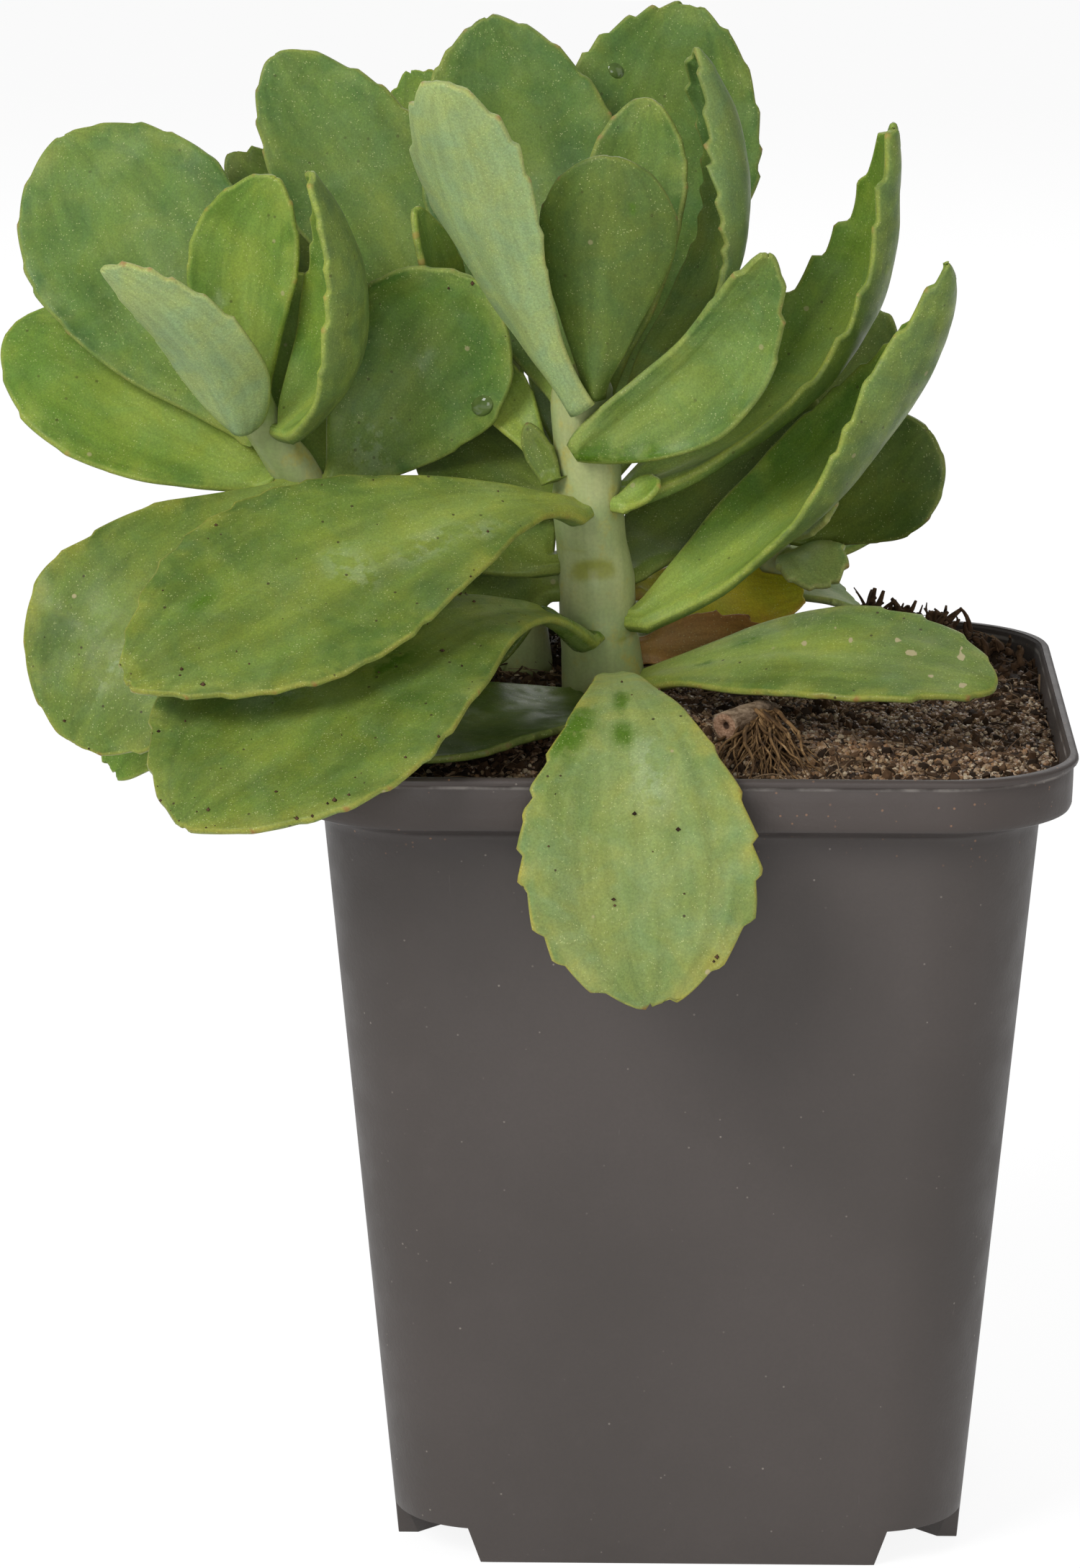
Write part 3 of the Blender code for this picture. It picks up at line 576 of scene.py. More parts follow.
def pot_plastic():
    """Taupe moulded plastic: fine grain, dust, scuffs, a little soil under the rim and painted
    shade under the band.
    """
    f = Finish("pot plastic", Specular_IOR_Level=0.45, IOR=1.48)
    z = f.add("SeparateXYZ", {0: f.place}).outputs["Z"]
    broad, medium = f.cloud(38.0, 3.0), f.cloud(6.0, 4.0, 0.6)
    fine = f.cloud(0.55, 3.0, 0.6)
    f.colour = f.mix((broad, 0.3, 0.7), (0.053, 0.044, 0.039), (0.064, 0.053, 0.048))
    f.coat((0.092, 0.079, 0.073), (medium, 0.45, 0.8, 0.0, 0.2))
    f.coat((0.04, 0.034, 0.032), (fine, 0.3, 0.7, 0.14, 0.0))
    rim = f.span(z, (BAND_BOTTOM - 0.3) * MM, (BAND_BOTTOM + 0.8) * MM)
    f.coat((0.048, 0.034, 0.029), rim, 0.45)
    # painted shade: the body darkens in the 7 mm under the band's overhang
    painted_shade_under_band = f.times((z, (STEP_BOTTOM - 7.0) * MM, STEP_BOTTOM * MM), f.maths("SUBTRACT", 1.0, rim))
    f.coat((0.036, 0.029, 0.027), painted_shade_under_band, 0.55)
    scuff = f.times((z, 116.2 * MM, 116.5 * MM), (z, 117.0 * MM, 116.7 * MM))
    f.coat((0.26, 0.235, 0.215), scuff, (medium, 0.42, 0.62, 0.1, 0.75))
    dust = f.times(f.dots(2.3, 0.04, 0.085), (medium, 0.45, 0.62))
    f.coat((0.33, 0.29, 0.25), dust, 0.55)
    near_rim = f.span(z, (STEP_BOTTOM - 8.0) * MM, (STEP_BOTTOM + 1.0) * MM)
    f.coat((0.2, 0.11, 0.065), f.dots(1.6, 0.07, 0.13), (f.cloud(5.0, 3.0), 0.44, 0.6), near_rim)
    scratch = f.cloud(0.8, 2.0, vector=f.stretched((1.0, 1.0, 0.05)))
    f.coat((0.24, 0.215, 0.2), (scratch, 0.74, 0.8), (medium, 0.5, 0.7), 0.4)
    f.bump(f.cloud(14.0, 2.0), 0.25, 0.35)
    f.bump(fine, 0.55, 0.09)
    return f.finish(f.span(medium, 0.3, 0.75, 0.46, 0.58))


def soil_ground():
    """The dark peat between the grains."""
    f = Finish("damp peat", Specular_IOR_Level=0.25)
    medium, fine = f.cloud(2.2, 4.0, 0.65), f.cloud(0.35, 3.0, 0.7)
    f.colour = f.mix((medium, 0.35, 0.65), (0.014, 0.008, 0.005), (0.055, 0.03, 0.016))
    f.coat((0.17, 0.105, 0.058), f.dots(0.55, 0.18, 0.32), (medium, 0.4, 0.6), 0.5)
    f.coat((0.1, 0.06, 0.035), (fine, 0.55, 0.75, 0.0, 0.35))
    f.bump(medium, 0.8, 0.8)
    f.bump(fine, 0.9, 0.25)
    return f.finish(f.span(fine, 0.3, 0.7, 0.55, 0.95))


def loose_bits(name, colours, roughness=0.75, specular=0.4):
    """Grains or crumbs, each copy in one of several colours."""
    f = Finish(name, Specular_IOR_Level=specular, Roughness=roughness)
    shade = f.field("shade")
    f.colour = colours[0]
    for i, other in enumerate(colours[1:], 1):
        edge = i / len(colours)
        f.coat(other, (shade, edge - 0.03, edge + 0.03))
    f.coat((0.03, 0.018, 0.01), (f.cloud(0.25, 2.0), 0.35, 0.7, 0.3, 0.0))
    return f.finish()


def twig_wood():
    """Grey-brown bark outside, tan rings on the broken end and a dark pith."""
    f = Finish("twig wood", Roughness=0.85, Specular_IOR_Level=0.25)
    ring = f.field("ring")
    grain = f.cloud(0.5, 3.0, 0.6, vector=f.stretched((0.35, 0.35, 1.0)))
    f.colour = f.mix((grain, 0.3, 0.7), (0.11, 0.068, 0.038), (0.33, 0.24, 0.16))
    wood = f.mix((f.cloud(0.35, 3.0), 0.3, 0.7), (0.23, 0.125, 0.07), (0.4, 0.25, 0.16))
    f.coat(wood, (ring, 0.5, 0.9))
    f.coat((0.05, 0.026, 0.016), (ring, 1.5, 1.9))
    f.bump(grain, 0.8, 0.3)
    return f.finish()


def clear_water():
    """Thin beads of water that gleam; their colour is the green of the leaf below as seen through
    them, painted in.
    """
    f = Finish("water", Roughness=0.04, IOR=1.33, Transmission_Weight=0.25,
               Specular_IOR_Level=0.9)
    # painted see-through: the leaf green under the beads is their base colour
    f.colour = f.mix((f.cloud(1.5, 2.0), 0.3, 0.7), (0.085, 0.14, 0.03), (0.14, 0.205, 0.055))
    return f.finish()


# ==== stems ====
def spline_points(path, steps):
    """Catmull-Rom points through a list of centres."""
    pts = [np.array(p, float) for p in path]
    pts = [pts[0] * 2 - pts[1]] + pts + [pts[-1] * 2 - pts[-2]]
    out = []
    for i in range(1, len(pts) - 2):
        a, b, c, d = pts[i - 1:i + 3]
        for k in range(steps):
            s = k / steps
            out.append(0.5 * (2 * b + (c - a) * s + (2 * a - 5 * b + 4 * c - d) * s ** 2
                              + (3 * b - a - 3 * c + d) * s ** 3))
    return np.array(out + [pts[-2]])


STEM_LINES = {name: spline_points(stem.path, 24) for name, stem in STEMS.items()}


def stem_centre(name, height):
    line = STEM_LINES[name]
    return np.array([np.interp(height, line[:, 2], line[:, k]) for k in range(3)])


def stem_radius(name, height):
    stem = STEMS[name]
    share = (height - stem.path[0][2]) / (stem.path[-1][2] - stem.path[0][2])
    return stem.radius_root + (stem.radius_top - stem.radius_root) * min(max(share, 0.0), 1.0)


STEM_SIDES = 44
STEM_RING_STEP = 0.8            # mm between two rings
# height in mm, side in degrees, depth and half height in mm of each healed leaf scar
SCARS = {"main": [(138.0, 0, 1.0, 1.7), (127.5, -60, 0.7, 0.55), (141.0, 40, 0.5, 0.55),
                  (130.0, 150, 0.9, 0.55)],
         "left": [(128.0, 20, 0.8, 0.55), (140.0, 60, 0.6, 0.55)],
         "back": [(130.0, 0, 0.8, 0.55)],
         "right": [(124.0, 30, 0.8, 0.55)]}


def turned(turn, side):
    """How far a direction in radians lies from a side in degrees, from -pi to pi."""
    return (turn - radians(side) + pi) % (2 * pi) - pi


def build_stem(name, skin):
    """A ringed tube with swellings under the leaves, healed leaf scars and a domed top."""
    stem = STEMS[name]
    low, high = stem.path[0][2], stem.path[-1][2]
    heights = np.arange(low, high, STEM_RING_STEP)
    dome = [0.0, 0.35, 0.65, 0.88, 1.0]
    turns = np.linspace(0, 2 * pi, STEM_SIDES, endpoint=False)
    seed = 7.3 + len(name)
    vertices, scar, base = [], [], []
    for h in list(heights) + [high] * len(dome):
        centre = stem_centre(name, h)
        along = unit(stem_centre(name, h + 0.8) - stem_centre(name, h - 0.8)
                     if h < high - 1 else STEM_LINES[name][-1] - STEM_LINES[name][-3])
        front = square_to(along, np.array([0, -1.0, 0]))
        right = np.cross(along, front) * -1.0
        radius = stem_radius(name, h)
        lift = 0.0
        if h >= high:
            step = len(vertices) // STEM_SIDES - len(heights)
            radius *= cos(dome[step] * pi / 2) + 0.02
            lift = stem_radius(name, h) * 0.9 * sin(dome[step] * pi / 2)
        for turn in turns:
            out = front * cos(turn) + right * sin(turn)
            grow = 0.1 * exp(-(h - low - 10) / 6.0) * radius
            for lf in LEAVES.values():
                if lf.stem == name and abs(h - lf.height) < 9:
                    away = turned(turn, lf.side)
                    below = lf.height - h
                    fade = exp(-(below / (4.5 if below > 0 else 1.8)) ** 2)
                    grow += 0.35 * fade * exp(-(away / 0.5) ** 2)
            mark = 0.0
            for level, side, size, tall in SCARS[name]:
                away = turned(turn, side)
                arch = level - 1.2 * away * away
                mark = max(mark, exp(-((h - arch) / tall) ** 2)
                           * exp(-(away / 0.75) ** 4) * size)
            place = centre + out * radius + along * lift
            ridge = 0.07 * rough((place[0] * 2.2, place[1] * 2.2, place[2] * 0.25), 3.0, seed)
            bulge = 0.16 * rough(place, 9.0, seed)
            relief = (grow + ridge + bulge - 0.3 * mark) * (1.0 if h < high else 0.2)
            vertices.append(centre + along * lift + out * (radius + relief))
            scar.append(mark)
            base.append(exp(-max(h - 116.0, 0.0) / 3.5))
    faces = tube_faces(len(vertices) // STEM_SIDES, STEM_SIDES, clockwise=True)
    return outward(new_piece(name + "_stem_skin", vertices, faces, skin, scar=scar, low=base))


def outward(piece):
    """Turns every face outwards."""
    bm = bmesh.new()
    bm.from_mesh(piece.data)
    bmesh.ops.recalc_face_normals(bm, faces=bm.faces)
    bm.to_mesh(piece.data)
    bm.free()
    return piece


# ==== leaves ====
def leaf_root(lf):
    """Where the blade starts, just clear of the stem, and the way out of the stem there."""
    centre = stem_centre(lf.stem, lf.height)
    axis = unit(stem_centre(lf.stem, lf.height + 1.5) - stem_centre(lf.stem, lf.height - 1.5))
    along = unit(np.array(lf.tip, float) - centre)
    face = square_to(along, direction(*lf.facing))
    side = square_to(axis, direction(lf.side, 0.0))
    gap = lf.gap if lf.gap is not None else 0.6 + 0.9 * abs(face.dot(side))
    return centre + side * (stem_radius(lf.stem, lf.height) + gap), side, gap


def half_width(lf, t):
    blade = lf.width / 2 * np.sin(np.pi * np.clip(t, 0, 1) ** lf.belly) ** lf.fullness
    return np.hypot(blade, lf.stalk * (1.0 - t) ** 1.2)


def blade_surface(lf, t, u):
    """Middle surface and its upward normals for t along the blade and u across it."""
    root, _, _ = leaf_root(lf)
    tip = np.array(lf.tip, float)
    chord = tip - root
    along = unit(chord)
    face = square_to(along, direction(*lf.facing))
    across = np.cross(along, face)
    lift = root + chord * lf.peak + face * (2 * lf.bow) + across * (2 * lf.sweep)
    s = t[:, None]
    centre = root * (1 - s) ** 2 + lift * (2 * s * (1 - s)) + tip * s ** 2
    tangent = unit((lift - root) * (1 - s) + (tip - lift) * s)
    normal = unit(face - tangent * (tangent @ face)[:, None])
    sideways = np.cross(tangent, normal)
    turn = radians(lf.twist) * s
    normal, sideways = (normal * np.cos(turn) + sideways * np.sin(turn),
                        sideways * np.cos(turn) - normal * np.sin(turn))
    rise = np.sin(np.pi * t)
    tip_cup = 0.55 * lf.cup if lf.tip_cup is None else lf.tip_cup
    end = np.where(t < 0.5, 0.55 * lf.cup, tip_cup)
    curl = np.radians(end + (lf.cup - end) * rise)
    width = half_width(lf, t)
    angle = curl[:, None] * u[None, :] * (1 + lf.lean * np.outer(rise, np.sign(u)))
    reach = (width / curl)[:, None]
    middle = (centre[:, None, :] + sideways[:, None, :] * (reach * np.sin(angle))[..., None]
              + normal[:, None, :] * (reach * (1 - np.cos(angle)))[..., None])
    up = (normal[:, None, :] * np.cos(angle)[..., None]
          - sideways[:, None, :] * np.sin(angle)[..., None])
    return middle, up, width[:, None] * u[None, :]


def margin_teeth(lf, arc, tip_arc):
    """How far the margin stands out at each place along it: blunt teeth that lean to the tip."""
    draw = random.Random(lf.seed)
    offset = np.zeros_like(arc)
    tooth = np.zeros_like(arc)
    total = arc[-1]
    place = lf.first * tip_arc
    end = total - lf.first * (total - tip_arc)
    while place < end:
        step = lf.pitch * draw.uniform(0.65, 1.35)
        depth = lf.notch * draw.uniform(0.35, 1.25)
        share = (arc - place) / step
        inside = (share >= 0) & (share < 1)
        lean = np.where(arc < tip_arc, share, 1 - share)
        lean = np.clip(lean, 0, 1)
        fade = smooth(0, 6.0, place - lf.first * tip_arc + 2) * smooth(0, 6.0, end - place)
        fall = smooth(0.0, 0.22, lean) * (1 - np.clip((lean - 0.22) / 0.78, 0, 1) ** 1.25)
        offset = np.where(inside, (0.3 - fall) * depth * fade, offset)
        near = np.abs(arc - place)
        tooth = np.maximum(tooth, np.exp(-(near / 0.7) ** 2) * draw.uniform(0.3, 1.0) * fade)
        place += step
    return offset, tooth


def build_leaf(name, lf, skin):
    """A closed fleshy blade with a rounded, toothed margin, grown into its stem."""
    rows = np.linspace(0, 1, BLADE_ROWS + 1)
    t = BLADE_STOP * (1 - (1 - rows) ** 1.7)
    u = -np.cos(np.linspace(0, np.pi, BLADE_COLUMNS + 1))
    middle, up, across = blade_surface(lf, t, u)
    edge_line = np.concatenate([middle[:, 0], middle[-1, 1:-1], middle[::-1, -1]])
    edge_up = np.concatenate([up[:, 0], up[-1, 1:-1], up[::-1, -1]])
    steps = np.linalg.norm(np.diff(edge_line, axis=0), axis=1)
    arc = np.concatenate([[0], np.cumsum(steps)])
    tip_arc = arc[BLADE_ROWS + BLADE_COLUMNS // 2]
    offset, tooth = margin_teeth(lf, arc, tip_arc)
    tangent = unit(np.gradient(edge_line, arc, axis=0))
    out = np.cross(edge_up, tangent)
    middle_of_blade = middle[BLADE_ROWS // 2, BLADE_COLUMNS // 2]
    if np.mean(np.sum(out * (edge_line - middle_of_blade), axis=1)) < 0:
        out = -out
    flat = middle.reshape(-1, 3)
    gaps = np.linalg.norm(flat[:, None, :] - edge_line[None, :, :], axis=2)
    nearest = gaps.argmin(axis=1)
    rim = gaps.min(axis=1)
    wobble = rough_all(edge_line, 9.0, lf.seed) * 0.5 * smooth(0.0, 12.0, np.minimum(
        arc, arc[-1] - arc))
    push = (offset + wobble)[nearest] * np.exp(-rim / 2.2)
    flat = flat + out[nearest] * push[:, None]
    teeth = tooth[nearest] * np.exp(-rim / 0.9)
    ups = up.reshape(-1, 3)
    spread = np.repeat(t, BLADE_COLUMNS + 1)
    wave = rough_all(flat, 13.0, lf.seed + 0.5) * lf.ruffle * (0.35 + 0.9 * np.exp(-rim / 5.0))
    wave += rough_all(flat, 5.0, lf.seed + 3.5) * lf.ruffle * 0.22
    flat = flat + ups * (wave * smooth(0.0, 0.2, spread))[:, None]
    flesh = flesh_height(lf, rim, spread, across.reshape(-1))
    top = flat + ups * flesh[0][:, None]
    bottom = flat - ups * flesh[1][:, None]
    return close_blade(name, lf, skin, top, bottom, t, across, rim, teeth)


# bruises, films of lime and corky scars: each one's place along (0 to 1) and across (-1 to 1) the
# blade, and half its length and width in mm
MARKS = {
    "main_front_hanging": {
        "bruise": [(0.4, 0.02, 4.0, 1.2), (0.52, 0.04, 2.6, 1.6), (0.5, 0.8, 6.0, 3.0)],
        "film": [(0.62, -0.2, 6.0, 3.0)]},
    "main_left_upper": {
        "film": [(0.52, -0.25, 7.0, 2.6), (0.4, -0.5, 3.0, 1.8), (0.66, -0.1, 3.0, 5.0)],
        "bruise": [(0.86, 0.35, 1.6, 1.2)]},
    "main_left_lower": {
        "bruise": [(0.05, 0.0, 6.0, 6.0), (0.62, -0.1, 5.0, 3.0)],
        "film": [(0.75, 0.4, 5.0, 6.0)]},
    "left_round": {"film": [(0.22, 0.15, 5.0, 4.0), (0.6, 0.0, 2.4, 1.2)]},
    "main_right_cup": {"bruise": [(0.05, 0.4, 3.5, 2.0), (0.17, 0.85, 4.0, 2.0)]},
    "main_soil_right": {
        "bruise": [(0.3, -0.4, 2.4, 1.2), (0.2, 0.1, 1.6, 0.8)],
        "cork": [(0.54, -0.5, 0.8, 0.5), (0.56, 0.05, 0.9, 0.6), (0.48, -0.1, 0.8, 0.5),
        (0.77, -0.15, 1.1, 0.9), (0.89, -0.4, 0.7, 0.9), (0.79, 0.3, 0.9, 0.6),
        (0.85, 0.4, 0.7, 0.6), (0.73, 0.2, 0.5, 0.5), (0.93, 0.5, 0.7, 0.6),
        (0.88, -0.62, 0.5, 0.5), (0.72, -0.35, 0.5, 0.4), (0.6, -0.25, 0.5, 0.4)]},
    "main_soil_left": {"film": [(0.5, 0.3, 5.0, 3.0)]},
    "left_hanging": {"film": [(0.78, 0.0, 5.0, 0.9)]},
    "left_inner": {"film": [(0.42, -0.45, 1.6, 1.0)]},
    "main_top_front": {"bruise": [(0.8, -0.35, 0.9, 0.9)]},
}


def marks_on(name, along, fan, lf):
    """How much of each kind of mark lies at every point of a blade."""
    length = np.linalg.norm(np.array(lf.tip) - leaf_root(lf)[0])
    fields = {}
    for kind in ("film", "bruise", "cork"):
        fields[kind] = np.zeros_like(along)
        for t, u, high, wide in MARKS.get(name, {}).get(kind, ()):
            away = (((along - t) * length / high) ** 2
                    + ((fan - u) * np.maximum(half_width(lf, along), 1.0) / wide) ** 2)
            fields[kind] = np.maximum(fields[kind], np.exp(-away * away))
    return fields


# leaf, place along and across the blade, width in mm and how tall it stands for its width
DROPS = [("left_round", 0.6, 0.8, 3.2, 0.42), ("main_top_back_right", 0.83, -0.6, 2.6, 0.4),
         ("main_left_lower", 0.14, 0.3, 3.0, 0.3)]
BEAD_RINGS = 11
BEAD_SIDES = 24


def build_drops(water):
    """Beads of water that lie flat on the upper faces, each a flattened ball of rings."""
    vertices, faces = [], []
    for name, t, u, width, tall in DROPS:
        lf = LEAVES[name]
        middle, up, _ = blade_surface(lf, np.array([t]), np.array([u]))
        normal = up[0, 0]
        side = unit(np.cross(normal, (0.3, 1.0, 0.2)))
        other = np.cross(normal, side)
        seat = middle[0, 0] + normal * (0.5 * lf.thick - 0.1)
        faces += tube_faces(BEAD_RINGS, BEAD_SIDES, len(vertices), clockwise=True)
        for i in range(1, BEAD_RINGS + 1):
            tilt = pi * i / (BEAD_RINGS + 1)
            for turn, out in around(side, other, BEAD_SIDES):
                reach = width / 2 * sin(tilt) * (1 + 0.1 * sin(2 * turn + 1))
                vertices.append(seat + normal * (width / 2 * tall * cos(tilt)) + out * reach)
    return outward(new_piece("water_drops", vertices, faces, water))


# how many crumbs of soil lie on a leaf
DIRTY = {"main_left_upper": 20, "main_left_lower": 48, "main_front_hanging": 14, "left_round": 5,
         "left_hanging": 9}
CORNERS = [(1, 0, 0), (-1, 0, 0), (0, 1, 0), (0, -1, 0), (0, 0, 1), (0, 0, -1)]
SIDES = [(0, 2, 4), (2, 1, 4), (1, 3, 4), (3, 0, 4), (2, 0, 5), (1, 2, 5), (3, 1, 5), (0, 3, 5)]


def build_dirt(peat, blades):
    """Crumbs of soil that splashed on the upper faces of the low leaves."""
    draw = random.Random(33)
    vertices, faces = [], []
    for name, count in DIRTY.items():
        points = blades[name].data.vertices
        for _ in range(count):
            row = INSET_ROWS + draw.randint(14, BLADE_ROWS - 3)
            column = draw.randint(2, BLADE_COLUMNS - 2)
            point = points[row * (BLADE_COLUMNS + 1) + column]
            size = 0.1 + 0.28 * draw.random() ** 2
            seat = np.array(point.co) / MM + np.array(point.normal) * 0.3 * size
            first = len(vertices)
            for corner in CORNERS:
                stretch = wander(draw, *[(0.6, 1.4)] * 3)
                vertices.append(seat + np.array(corner) * stretch * size)
            faces += [tuple(first + k for k in side) for side in SIDES]
    return outward(new_piece("leaf_dirt", vertices, faces, peat))


def flesh_height(lf, rim, t, across):
    """Height of the upper and the lower face over the blade's middle surface, mm."""
    rounded = np.sqrt(np.clip(1 - (1 - np.minimum(rim / lf.edge, 1)) ** 2, 0, 1))
    belly = (lf.thick / 2 - lf.edge) * (1 - np.exp(-rim / 4.5))
    neck = 0.75 * (1 - smooth(0.0, 0.22, t)) * smooth(0.0, 1.5, rim)
    body = lf.edge * rounded + belly + neck
    groove = 0.28 * np.exp(-(across / 1.3) ** 2) * (1 - smooth(0.5, 0.95, t)) * smooth(0, 2, rim)
    keel = 0.45 * np.exp(-(across / 2.0) ** 2) * (1 - smooth(0.3, 0.9, t)) * smooth(0, 2, rim)
    return body - groove, body + keel


def close_blade(name, lf, skin, top, bottom, t, across, rim, teeth):
    """Joins the two faces at the margin and carries the stalk end on into the stem."""
    rows, columns = BLADE_ROWS + 1, BLADE_COLUMNS + 1
    shape = (rows, columns)
    top, bottom = top.reshape(rows, columns, 3), bottom.reshape(rows, columns, 3)
    _, side, gap = leaf_root(lf)
    inner = gap + 0.55 * stem_radius(lf.stem, lf.height)
    depths = np.linspace(inner, inner / INSET_ROWS, INSET_ROWS)[:, None, None]
    top = np.concatenate([top[:1] - side * depths, top])
    bottom = np.concatenate([bottom[:1] - side * depths, bottom])
    u = np.linspace(0, np.pi, columns)
    fan, along = np.meshgrid(-np.cos(u), t)
    fields = {"along": along, "across": across.reshape(shape), "rim": rim.reshape(shape),
              "tooth": teeth.reshape(shape), "fan": fan, "draw": np.full(shape, lf.seed * 1.0)}
    fields.update(marks_on(name, along, fan, lf))
    fields = {key: np.concatenate([value[:1]] * INSET_ROWS + [value])
              for key, value in fields.items()}
    rows += INSET_ROWS
    inside = np.zeros((rows, columns), bool)
    inside[:-1, 1:-1] = True
    lower_index = np.arange(rows * columns).reshape(rows, columns)
    upper_index = lower_index.copy()
    lower_index[inside] = rows * columns + np.arange(inside.sum())
    faces = grid_faces(upper_index) + grid_faces(lower_index.T)
    faces.append(np.concatenate([upper_index[0, ::-1], lower_index[0, 1:-1]]).tolist())
    vertices = np.concatenate([top.reshape(-1, 3), bottom[inside]])
    under = np.concatenate([np.where(inside, 0.0, 0.5).reshape(-1), np.ones(inside.sum())])
    packed = {key: np.concatenate([value.reshape(-1), value[inside]])
              for key, value in fields.items()}
    return new_piece(name + "_leaf", vertices, faces, skin, under=under, **packed)


# ==== the pot ====
CORNER_STEPS = 20
SIDE_STEPS = 10


def square_ring(half, height):
    """Points of a square with round corners, counter-clockwise from above."""
    radius = CORNER_RATIO * half
    flat = half - radius
    ring = []
    for quarter in range(4):
        start = quarter * pi / 2
        cx = flat * (1 if quarter in (0, 3) else -1)
        cy = flat * (1 if quarter in (0, 1) else -1)
        for k in range(CORNER_STEPS + 1):
            a = start + k / CORNER_STEPS * pi / 2
            ring.append((cx + radius * cos(a), cy + radius * sin(a), height))
        ax, ay = ring[-1][:2]
        turn = start + pi / 2
        for k in range(1, SIDE_STEPS):
            s = 2 * flat * k / SIDE_STEPS
            ring.append((ax - sin(turn) * s, ay + cos(turn) * s, height))
    return ring


def lofted(name, stations, material):
    """A skin through square rings, closed at both ends."""
    rings = [square_ring(half, height) for half, height in stations]
    vertices = [point for ring in rings for point in ring]
    return new_piece(name, vertices, tube_faces(len(rings), len(rings[0])), material)


def inner_half(height):
    """Half width inside the body wall at a height in mm."""
    share = (height - FLOOR) / (STEP_BOTTOM - FLOOR)
    return BODY_BOTTOM_HALF + (BODY_TOP_HALF - BODY_BOTTOM_HALF) * share - WALL


def outer_half(height):
    return BODY_BOTTOM_HALF + (BODY_TOP_HALF - BODY_BOTTOM_HALF) * height / STEP_BOTTOM


def corner_cutters(grow, plastic):
    """The four raised corners under the floor, grown by a wall thickness in mm."""
    taper = (FOOT_HALF_TOP - FOOT_HALF_BOTTOM) / RECESS_HEIGHT
    shoulder, reach = NOTCH_SHOULDER + sqrt(2) * grow, NOTCH_REACH - sqrt(2) * grow
    vertices, faces = [], []
    for sx, sy in ((1, 1), (-1, 1), (-1, -1), (1, -1)):
        first = len(vertices)
        for height in (-5.0, RECESS_HEIGHT + grow):
            inner = FOOT_HALF_BOTTOM + taper * min(height, RECESS_HEIGHT) - grow
            outline = [(60.0, 60.0), (60.0, inner), (inner + shoulder, inner),
                       ((reach + shoulder) / 2, (reach - shoulder) / 2)]
            outline += [(y, x) for x, y in reversed(outline[1:])]
            vertices += [(sx * x, sy * y, height) for x, y in outline]
        faces += tube_faces(2, len(outline), first)
    return outward(new_piece("raised corners", vertices, faces, plastic))


def drain_cutter():
    bm = bmesh.new()
    for x in (-DRAIN_PLACE, DRAIN_PLACE):
        for y in (-DRAIN_PLACE, DRAIN_PLACE):
            made = bmesh.ops.create_cone(bm, cap_ends=True, segments=32,
                                         radius1=DRAIN_RADIUS * MM, radius2=DRAIN_RADIUS * MM,
                                         depth=8.0 * MM)
            bmesh.ops.translate(bm, vec=(x * MM, y * MM, RECESS_HEIGHT * MM), verts=made["verts"])
    return add_object("drain holes", mesh_of(bm, "drain holes"))


def apply_modifier(piece, kind, **settings):
    """Replaces a piece's mesh with what a modifier makes of it."""
    tune(piece.modifiers.new(kind.lower(), kind), **settings)
    bake_modifiers(piece)


def cut(piece, cutter):
    """Takes the cutter's space out of the piece, for good."""
    apply_modifier(piece, "BOOLEAN", operation="DIFFERENCE", solver="EXACT", object=cutter)
    bpy.data.objects.remove(cutter, do_unlink=True)


def bake_modifiers(piece):
    """Replaces a piece's mesh with what its modifiers make."""
    graph = bpy.context.evaluated_depsgraph_get()
    mesh = bpy.data.meshes.new_from_object(piece.evaluated_get(graph))
    piece.modifiers.clear()
    piece.data = mesh


def build_pot(plastic):
    """Outside, cavity, raised corners and drain holes, then softened edges."""
    walls = [(outer_half(z), z) for z in np.linspace(0.0, STEP_BOTTOM - 1.6, 16)]
    shoulder = [
        (BODY_TOP_HALF - 0.02, STEP_BOTTOM - 0.7), (BODY_TOP_HALF + 0.35, STEP_BOTTOM - 0.1),
        (BODY_TOP_HALF + 1.2, STEP_BOTTOM + 0.3), (BAND_HALF - 1.0, BAND_BOTTOM - 0.35),
        (BAND_HALF - 0.25, BAND_BOTTOM + 0.05), (BAND_HALF, BAND_BOTTOM + 0.7)]
    band = [(BAND_HALF + 0.06, 112.5), (BAND_HALF + 0.12, 114.5), (BAND_HALF + 0.15, 116.2)]
    bead = [(BAND_HALF + 0.05, 116.55), (BAND_HALF + 0.25, 116.75), (RIM_HALF - 0.1, 116.95),
            (RIM_HALF, 117.25), (RIM_HALF - 0.02, 117.6), (RIM_HALF - 0.25, 117.88),
            (RIM_HALF - 0.6, POT_HEIGHT), (RIM_HALF - 1.0, 117.95)]
    pot = lofted("nursery_pot", walls + shoulder + band + bead, plastic)
    cavity = lofted("cavity", [(inner_half(FLOOR), FLOOR), (inner_half(STEP_BOTTOM), 110.0),
                               (BAND_HALF - RIM_WALL, 111.4), (RIM_HALF - RIM_WALL, 117.5),
                               (RIM_HALF - RIM_WALL + 0.25, 117.8),
                               (RIM_HALF - RIM_WALL + 0.3, 120.0)], plastic)
    cut(cavity, corner_cutters(WALL, plastic))
    cut(pot, cavity)
    cut(pot, corner_cutters(0.0, plastic))
    cut(pot, drain_cutter())
    apply_modifier(pot, "BEVEL", width=0.35 * MM, segments=3, limit_method="ANGLE",
                   angle_limit=radians(35))
    pot.data.shade_smooth()
    pot.data.set_sharp_from_angle(angle=radians(50))
    return pot


# ==== the soil ====
SOIL_CELLS = 150
SOIL_HALF = BAND_HALF - RIM_WALL - 0.1


def soil_height(x, y):
    lift = sum(rise * exp(-((x - cx) ** 2 + (y - cy) ** 2) / (2 * spread ** 2))
               for cx, cy, rise, spread in MOUNDS)
    return SOIL_LEVEL + lift


